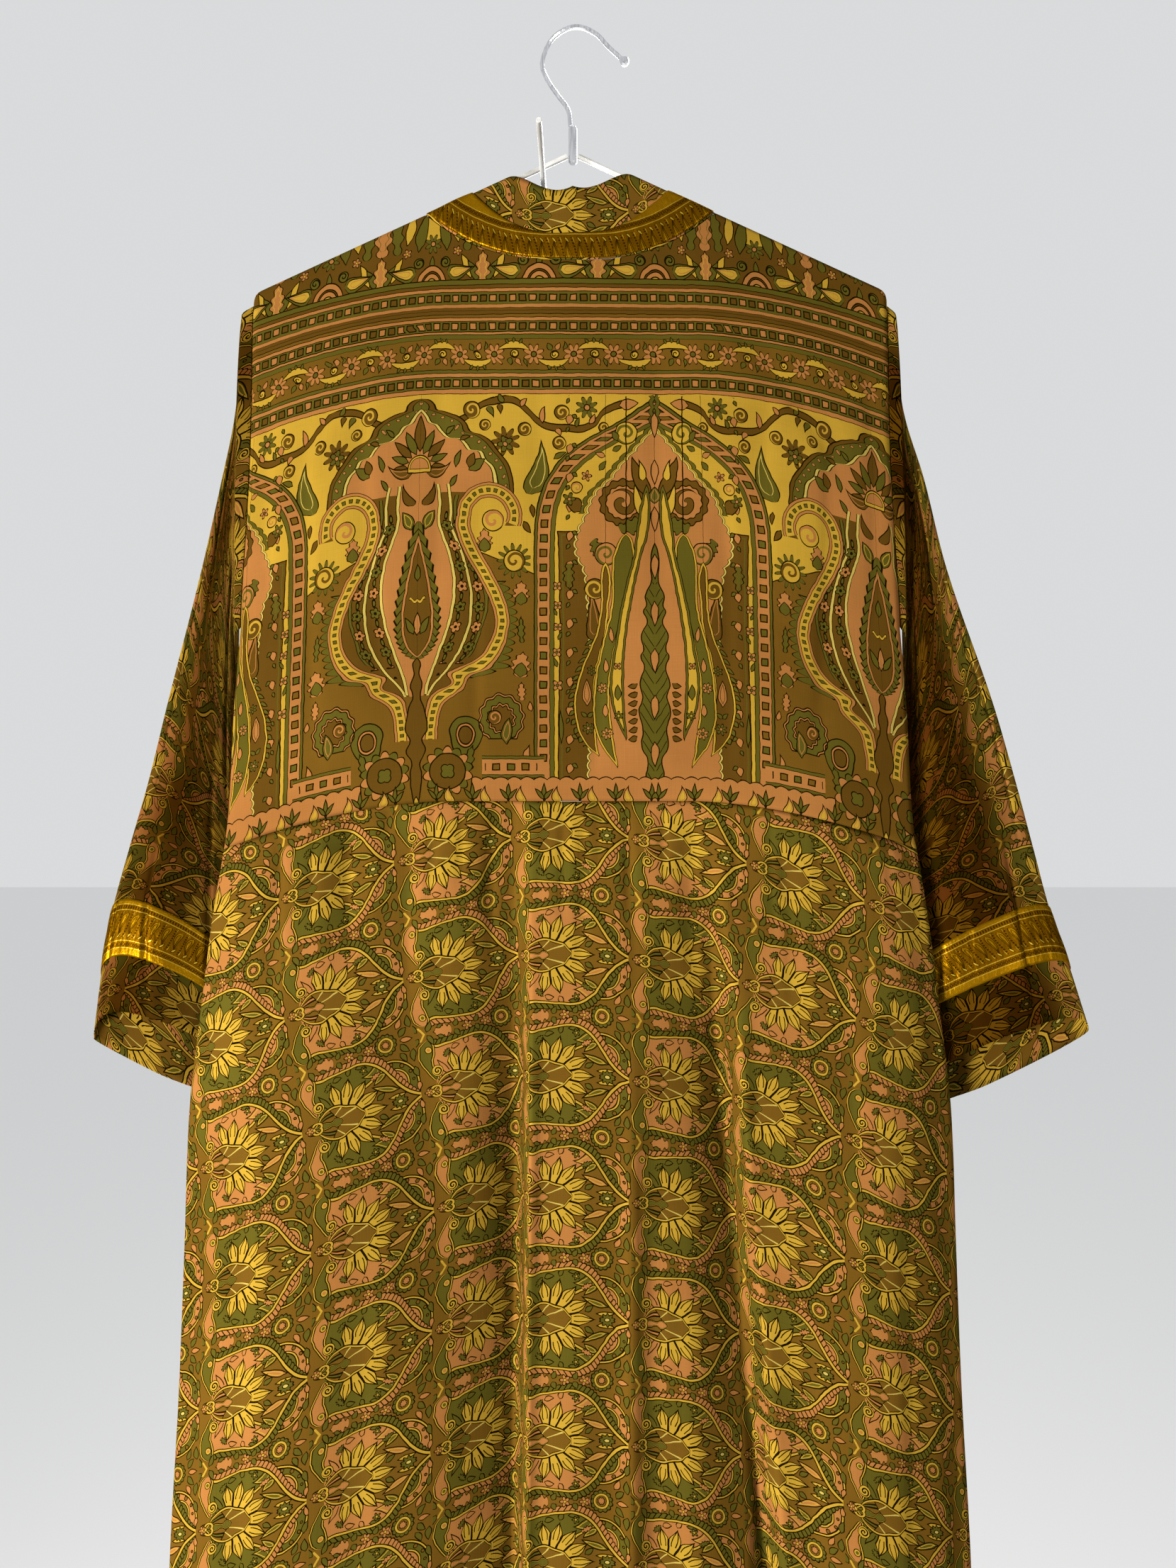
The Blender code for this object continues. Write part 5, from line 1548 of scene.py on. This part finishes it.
def draw_field(tree, x, y, pointed):
    """One kind of arch with its half of the corners and borders, in the yellow field under the stripes."""
    sheet = Print(tree, "yellow")
    v = (x - LOBED_AXIS).work("PINGPONG", ARCH_STEP)
    q = ARCH_STEP - v
    depth = ARCH_TOP - y
    shade = -296 - y - (v - 76) * 0.4
    sheet.shape(shade * (v < 100), "ground")
    in_group(sheet, "spandrel", partial(draw_spandrel, pointed=pointed), v, y)
    if pointed:
        in_group(sheet, "pointed_frame", draw_pointed_frame, q, y, depth)
        in_group(sheet, "pointed_fingers", draw_pointed_fingers, q, y, depth)
        in_group(sheet, "pointed_blooms", draw_pointed_blooms, q, y)
    else:
        draw_flower(sheet, v, y, (71.5, -291), 13, 13, "green", "yellow")
        draw_curl(sheet, v, y, (71.5, -291), 8, 1.4, "yellow", "brown")
        in_group(sheet, "lobed_frame", draw_lobed_frame, v, y, depth)
        in_group(sheet, "lobed_beads", draw_lobed_beads, v, y, depth)
        in_group(sheet, "lobed_palmette", draw_lobed_palmette, v, y, depth)
        in_group(sheet, "corner", draw_corner, v, y)
        frame_edge = v - ARCH_STEP + depth.curve(POINTED_FORM)
        sheet.shape(frame_edge * (depth > 0), "green")
        sheet.lay(frame_edge > 2.3, "line")

    # The lower frame of squares, and the scalloped border under it
    down = -440 - y
    bar = v.between(48, 93)
    for half, ink in ((8.2, "line"), (7.7, "green"), (5.9, "line"), (5.4, "salmon")):
        sheet.lay((abs(down) < half) * bar, ink)
    draw_squares(sheet, v, down, 10.6, 3, 2.7, "green", "ground", where=(v - 50).least(88 - v))
    scallop = abs((v / 9.5).fraction() - 0.5)
    hem = -446.8 - y - scallop * scallop * 8
    sheet.shape(hem.least(abs(v - 20) - 20), "salmon")
    spray, _ = repeat(v, 2, 26)
    low = (y < -448)
    draw_leaves(sheet, spray + (1 - low) * OUT_OF_REACH, y, table(Leaf,
        (13, -466, 90, 15, 2, "green"), (13, -464, 52, 11, 1.8, "green", LEAF, 0.2),
        (13, -464, 128, 11, 1.8, "green", LEAF, -0.2), (24, -466, 96, 13, 3.6, "yellow", DROP, 0.6, "salmon"),
    ))
    sheet.lay(y > LOWER_STRIPES[-1][0], stripes(tree, y, LOWER_STRIPES, -172))
    return sheet.colour


# Zari, the gold thread of the woven borders, in its lights and darks
ZARI = {
    "line": srgb(96, 62, 4, 0.17),
    "mid": srgb(176, 122, 10, 0.17),
    "gold": srgb(226, 166, 18, 0.17),
    "bright": srgb(255, 214, 70, 0.22),
}

# Where one pod's knot lies on the flat cloth
BODY_KNOT = (-36, -575)
SLEEVE_KNOT = (-30, 20)

# Painted shade on each sleeve, standing in for its crease's shade, by the distance across from the top fold
LEFT_PAINTED_SHADE = ((0, 0.3), (10, 0.55), (24, 0.85), (42, 0.9), (60, 0.8), (90, 0.6), (140, 0.4), (300, 0.3))
RIGHT_PAINTED_SHADE = ((0, 0), (14, 0.1), (34, 0.75), (55, 1.1), (110, 1.15), (170, 0.7), (300, 0.3))


def draw_zari(tree, x, y):
    """The woven gold border, up from the edge with the row of dashes to its plain edge."""
    sheet = Print(tree, "gold", ZARI)
    sheet.lay(y.between(4, 9), "mid")
    dash, _ = repeat(x, 0, 2.1)
    sheet.lay(y.between(5.2, 7.8) * (dash < 0.9), "line")
    for edge in (4.2, 8.8, 33.6, 39.4):
        sheet.lay(y.near(edge, 0.3), "bright")
    sheet.lay(y.between(9.2, 33.2), "mid")
    lattice, _ = repeat(x, 0, 3.6)
    tooth = abs(lattice - 1.8) * 1.5
    sheet.lay(y.between(34.2, 39), "mid")
    sheet.lay((y - tooth).near(35.2, 0.42), "line")
    sheet.lay((y + tooth).near(38.4, 0.42), "line")
    along, _ = repeat(x + y * 0.22, 0, 9.2)
    draw_leaves(sheet, along, y, table(Leaf,
        (4, 11, 88, 20, 2.6, "gold", DROP, 0.6, "line"), (2.4, 31.5, 300, 6, 1.1, "bright", LEAF, 0.3),
    ), 0.3)
    stalk = along - 7.6 - ((y - 10) * 0.16).sine() * 1.1
    bead, _ = repeat(y, 0, 2.3)
    sheet.lay(y.between(10.5, 31) * (length_of(stalk, bead - 1.15) < 0.75), "line")
    sheet.lay(y.between(10.5, 31) * stalk.near(1.3, 0.24), "bright")
    return sheet.colour


def draw_sleeve_pods(tree, x, y):
    return draw_pods(tree, x * -1, y, SLEEVE_KNOT)


def new_material(name):
    made = bpy.data.materials.new(name)
    made.use_nodes = True
    return made, made.node_tree, made.node_tree.nodes["Principled BSDF"]


def noise(tree, scales, detail=2, roughness=0.5, coordinates="flat"):
    """Noise on the flat cloth, or in the object's space, stretched by its scales per metre."""
    mapping = tree.nodes.new("ShaderNodeMapping")
    mapping.inputs["Scale"].default_value = scales
    if coordinates == "flat":
        place = tree.nodes.new("ShaderNodeUVMap")
        place.uv_map = "flat"
        tree.links.new(place.outputs[0], mapping.inputs["Vector"])
    else:
        place = tree.nodes.new("ShaderNodeTexCoord")
        tree.links.new(place.outputs["Object"], mapping.inputs["Vector"])
    made = tree.nodes.new("ShaderNodeTexNoise")
    made.inputs["Scale"].default_value = 1
    made.inputs["Detail"].default_value = detail
    made.inputs["Roughness"].default_value = roughness
    tree.links.new(mapping.outputs[0], made.inputs["Vector"])
    return Number(tree, made.outputs[0])


def bump_from(tree, shader, height, distance, strength=1):
    node = tree.nodes.new("ShaderNodeBump")
    node.inputs["Strength"].default_value = strength
    node.inputs["Distance"].default_value = distance
    tree.links.new(height.source, node.inputs["Height"])
    tree.links.new(node.outputs[0], shader.inputs["Normal"])


def shaded(tree, colour, share, dark):
    """The colour, multiplied by dark as share goes from 0 to 1."""
    node = tree.nodes.new("ShaderNodeMix")
    node.data_type = "RGBA"
    node.blend_type = "MULTIPLY"
    node.inputs[7].default_value = dark
    tree.links.new(share.source, node.inputs[0])
    tree.links.new(colour, node.inputs[6])
    return node.outputs[2]


def set_all(shader, **values):
    """Sets the shader's inputs, with underscores for the spaces in their names."""
    for name, value in values.items():
        shader.inputs[name.replace("_", " ")].default_value = value


def silk_material(name, draw, along_sleeve=False, painted_crease_shade=None, wear_and_shade_to=(0.74, 0.72, 0.7, 1)):
    """Printed silk with a fine slubbed weave and a soft satin sheen.

    draw lays the inks by the place on the cloth. A sleeve's crease table gives painted shade: how far the
    colour is darkened to stand in for the shade of a standing crease, by the distance across from the
    sleeve's top fold.
    """
    made, tree, shader = new_material(name)
    x, y = flat_places(tree, along_sleeve)
    wobble = noise(tree, (130, 130, 1), 1) - 0.5
    x = x + wobble * 1.5
    y = y - wobble * 1.1
    colour = draw(tree, x, y)
    worn = noise(tree, (9, 14, 1), 3)
    # Random wear darkens the inks; on the yoke the deeper colour is also painted shade on the robe's top
    colour = shaded(tree, colour, worn, wear_and_shade_to)
    # Painted shade: on the sleeves the colour is darkened across the standing crease, where its shade falls
    if painted_crease_shade:
        deep = (x.curve(painted_crease_shade) * (worn + 0.5)).work("MULTIPLY", 1, clamp=True)
        colour = shaded(tree, colour, deep, (0.2, 0.14, 0.07, 1))
    threads = noise(tree, (60, 2600, 1), 1)
    warp = noise(tree, (2400, 45, 1), 1)
    colour = shaded(tree, colour, (threads * warp).work("MULTIPLY", 1.1, clamp=True), (0.72, 0.7, 0.66, 1))
    tree.links.new(colour, shader.inputs["Base Color"])
    set_all(shader, Metallic=0.07, Specular_Tint=(0.88, 0.66, 0.4, 1), Roughness=0.58, Specular_IOR_Level=0)
    bump_from(tree, shader, threads + warp, 0.00006)
    return made


def gold_material(name, start=0):
    """Woven gold border: zari threads in a twill, worked with small botehs, with a metal glint."""
    made, tree, shader = new_material(name)
    x, y = flat_places(tree)
    colour = draw_zari(tree, x, y + start)
    twill = ((x + y) * 1.1).fraction()
    colour = shaded(tree, colour, (twill > 0.55) * 0.45, (0.62, 0.54, 0.4, 1))
    worn = noise(tree, (26, 90, 1), 3, 0.6)
    colour = shaded(tree, colour, worn, (0.6, 0.55, 0.46, 1))
    tree.links.new(colour, shader.inputs["Base Color"])
    glint = noise(tree, (700, 700, 1), 2)
    tree.links.new((glint * 0.4 + 0.2).source, shader.inputs["Roughness"])
    set_all(shader, Metallic=0.7, Specular_Tint=(0.88, 0.62, 0.2, 1), Specular_IOR_Level=0)
    bump_from(tree, shader, noise(tree, (160, 60, 1), 3, 0.6) + twill * 0.12, 0.0009)
    return made


def two_tones(tree, shader, share, *tones):
    """The colour goes from one tone to the other, each given as (share, colour)."""
    ramp = tree.nodes.new("ShaderNodeValToRGB")
    for element, (position, colour) in zip(ramp.color_ramp.elements, tones):
        element.position = position
        element.color = colour
    tree.links.new(share.source, ramp.inputs[0])
    tree.links.new(ramp.outputs[0], shader.inputs["Base Color"])


def coated_material():
    """White plastic coating on the hanger's wires, a little uneven and soiled."""
    made, tree, shader = new_material("white_coating")
    soil = noise(tree, (60, 60, 60), 4, 0.6, "object")
    two_tones(tree, shader, soil, (0.3, srgb(206, 204, 197, 0.2)), (0.62, srgb(238, 238, 235, 0.26)))
    tree.links.new((soil * 0.2 + 0.28).source, shader.inputs["Roughness"])
    shader.inputs["Coat Weight"].default_value = 0.15
    bump_from(tree, shader, noise(tree, (500, 500, 120), 2, 0.5, "object"), 0.0001)
    return made


def chrome_material():
    """Bright chrome, finely drawn along the wire, with faint tarnish."""
    made, tree, shader = new_material("chrome")
    drawn = noise(tree, (900, 900, 60), 2, 0.5, "object")
    two_tones(tree, shader, drawn, (0.35, srgb(196, 197, 200)), (0.6, srgb(228, 229, 232)))
    tree.links.new((drawn * 0.14 + 0.06).source, shader.inputs["Roughness"])
    shader.inputs["Metallic"].default_value = 1
    bump_from(tree, shader, drawn, 0.00004)
    return made


def painted_material():
    """White gloss paint on the peg, with brush marks and scuffs."""
    made, tree, shader = new_material("white_paint")
    marks = noise(tree, (300, 25, 300), 3, 0.6, "object")
    two_tones(tree, shader, marks, (0.25, srgb(212, 211, 206, 0.2)), (0.55, srgb(240, 240, 238, 0.26)))
    tree.links.new((marks * 0.25 + 0.25).source, shader.inputs["Roughness"])
    bump_from(tree, shader, marks, 0.00012)
    return made


def dress_hardware():
    """The hanger and the peg keep their packed forms and take their finishes."""
    chrome = chrome_material()
    finishes = {"hanger_frame": coated_material(), "hanger_neck": chrome, "hanger_hook": chrome,
                "wall_peg": painted_material()}
    for node, finish in finishes.items():
        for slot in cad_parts[node].material_slots:
            slot.material = finish


CAMERA_PLACE = (0.0335, -0.870, -0.4524)
CAMERA_LENS = 26
CAMERA_SENSOR = 36
FLOOR_HALF = 60
FLOOR_Z = -6
# Lamps, their places and aims in metres
Lamp = namedtuple("Lamp", "name place aim size power colour")
LAMPS = table(Lamp,
    ("window", (-2.75, -2.35, -1.15), (0, 0, -0.9), 1.4, 880, (1, 0.97, 0.92)),
    ("fill", (1.9, -2.4, -0.4), (0, 0, -0.7), 1.6, 70, (1, 0.97, 0.92)),
    ("rear", (0.6, 2.4, 0.9), (0, 0, -0.5), 2.2, 190, (1, 1, 1)),
)


def make_stage():
    """The camera at the photo's place, the lamps, the pale world and a pale floor far below."""
    camera_data = bpy.data.cameras.new("camera")
    camera_data.lens = CAMERA_LENS
    camera_data.sensor_width = CAMERA_SENSOR
    camera = bpy.data.objects.new("camera", camera_data)
    camera.location = CAMERA_PLACE
    camera.rotation_euler = (pi / 2, 0, 0)
    bpy.context.scene.collection.objects.link(camera)
    bpy.context.scene.camera = camera

    floor = bpy.data.meshes.new("floor")
    corners = [(sx * FLOOR_HALF, sy * FLOOR_HALF, FLOOR_Z) for sx, sy in ((-1, -1), (1, -1), (1, 1), (-1, 1))]
    floor.from_pydata(corners, [], [(0, 1, 2, 3)])
    floor_object = bpy.data.objects.new("floor", floor)
    pale, _, shader = new_material("pale_floor")
    shader.inputs["Base Color"].default_value = (0.86, 0.86, 0.86, 1)
    shader.inputs["Roughness"].default_value = 1
    floor.materials.append(pale)
    bpy.context.scene.collection.objects.link(floor_object)

    world = bpy.data.worlds.new("studio")
    bpy.context.scene.world = world
    world.use_nodes = True
    background = world.node_tree.nodes["Background"]
    background.inputs["Color"].default_value = (0.93, 0.94, 0.95, 1)
    background.inputs["Strength"].default_value = 0.75

    for lamp in LAMPS:
        data = bpy.data.lights.new(lamp.name, "AREA")
        data.shape = "DISK"
        data.size = lamp.size
        data.energy = lamp.power
        data.color = lamp.colour
        obj = bpy.data.objects.new(lamp.name, data)
        place = np.array(lamp.place)
        away = place - np.array(lamp.aim)
        obj.location = place
        tilt = np.arccos(away[2] / np.linalg.norm(away))
        obj.rotation_euler = (tilt, 0, np.arctan2(away[1], away[0]) + pi / 2)
        bpy.context.scene.collection.objects.link(obj)
    bpy.context.scene.view_settings.view_transform = "Standard"


# What the yoke's inks are multiplied by where the random wear is strongest.
# It is deeper than on the rest of the robe: painted shade that darkens the robe's top.
YOKE_WEAR_AND_SHADE = (0.6, 0.57, 0.54, 1)


def main():
    make_stage()
    pods = silk_material("pod_silk", partial(draw_pods, knot=BODY_KNOT))
    # The yoke's silks take painted shade along with their random wear
    bands = silk_material("band_silk", draw_bands, wear_and_shade_to=YOKE_WEAR_AND_SHADE)
    fields = [silk_material(name, partial(draw_field, pointed=pointed), wear_and_shade_to=YOKE_WEAR_AND_SHADE)
              for name, pointed in (("lobed_silk", False), ("pointed_silk", True))]
    narrow_gold, wide_gold = gold_material("narrow_gold", 16), gold_material("wide_gold")
    dress_hardware()
    make_back_yoke([bands] + fields)
    make_back_skirt(pods)
    make_neck_band(pods, narrow_gold)
    # Each sleeve takes its own table of painted crease shade
    for side, word, sleeve_painted_shade in ((LEFT, "left", LEFT_PAINTED_SHADE), (RIGHT, "right", RIGHT_PAINTED_SHADE)):
        make_front(side, word, pods)
        make_front_band(side, word, pods, narrow_gold)
        sleeve_silk = silk_material(word + "_sleeve_silk", draw_sleeve_pods, True, sleeve_painted_shade)
        make_sleeve(side, word, sleeve_silk, wide_gold)


main()
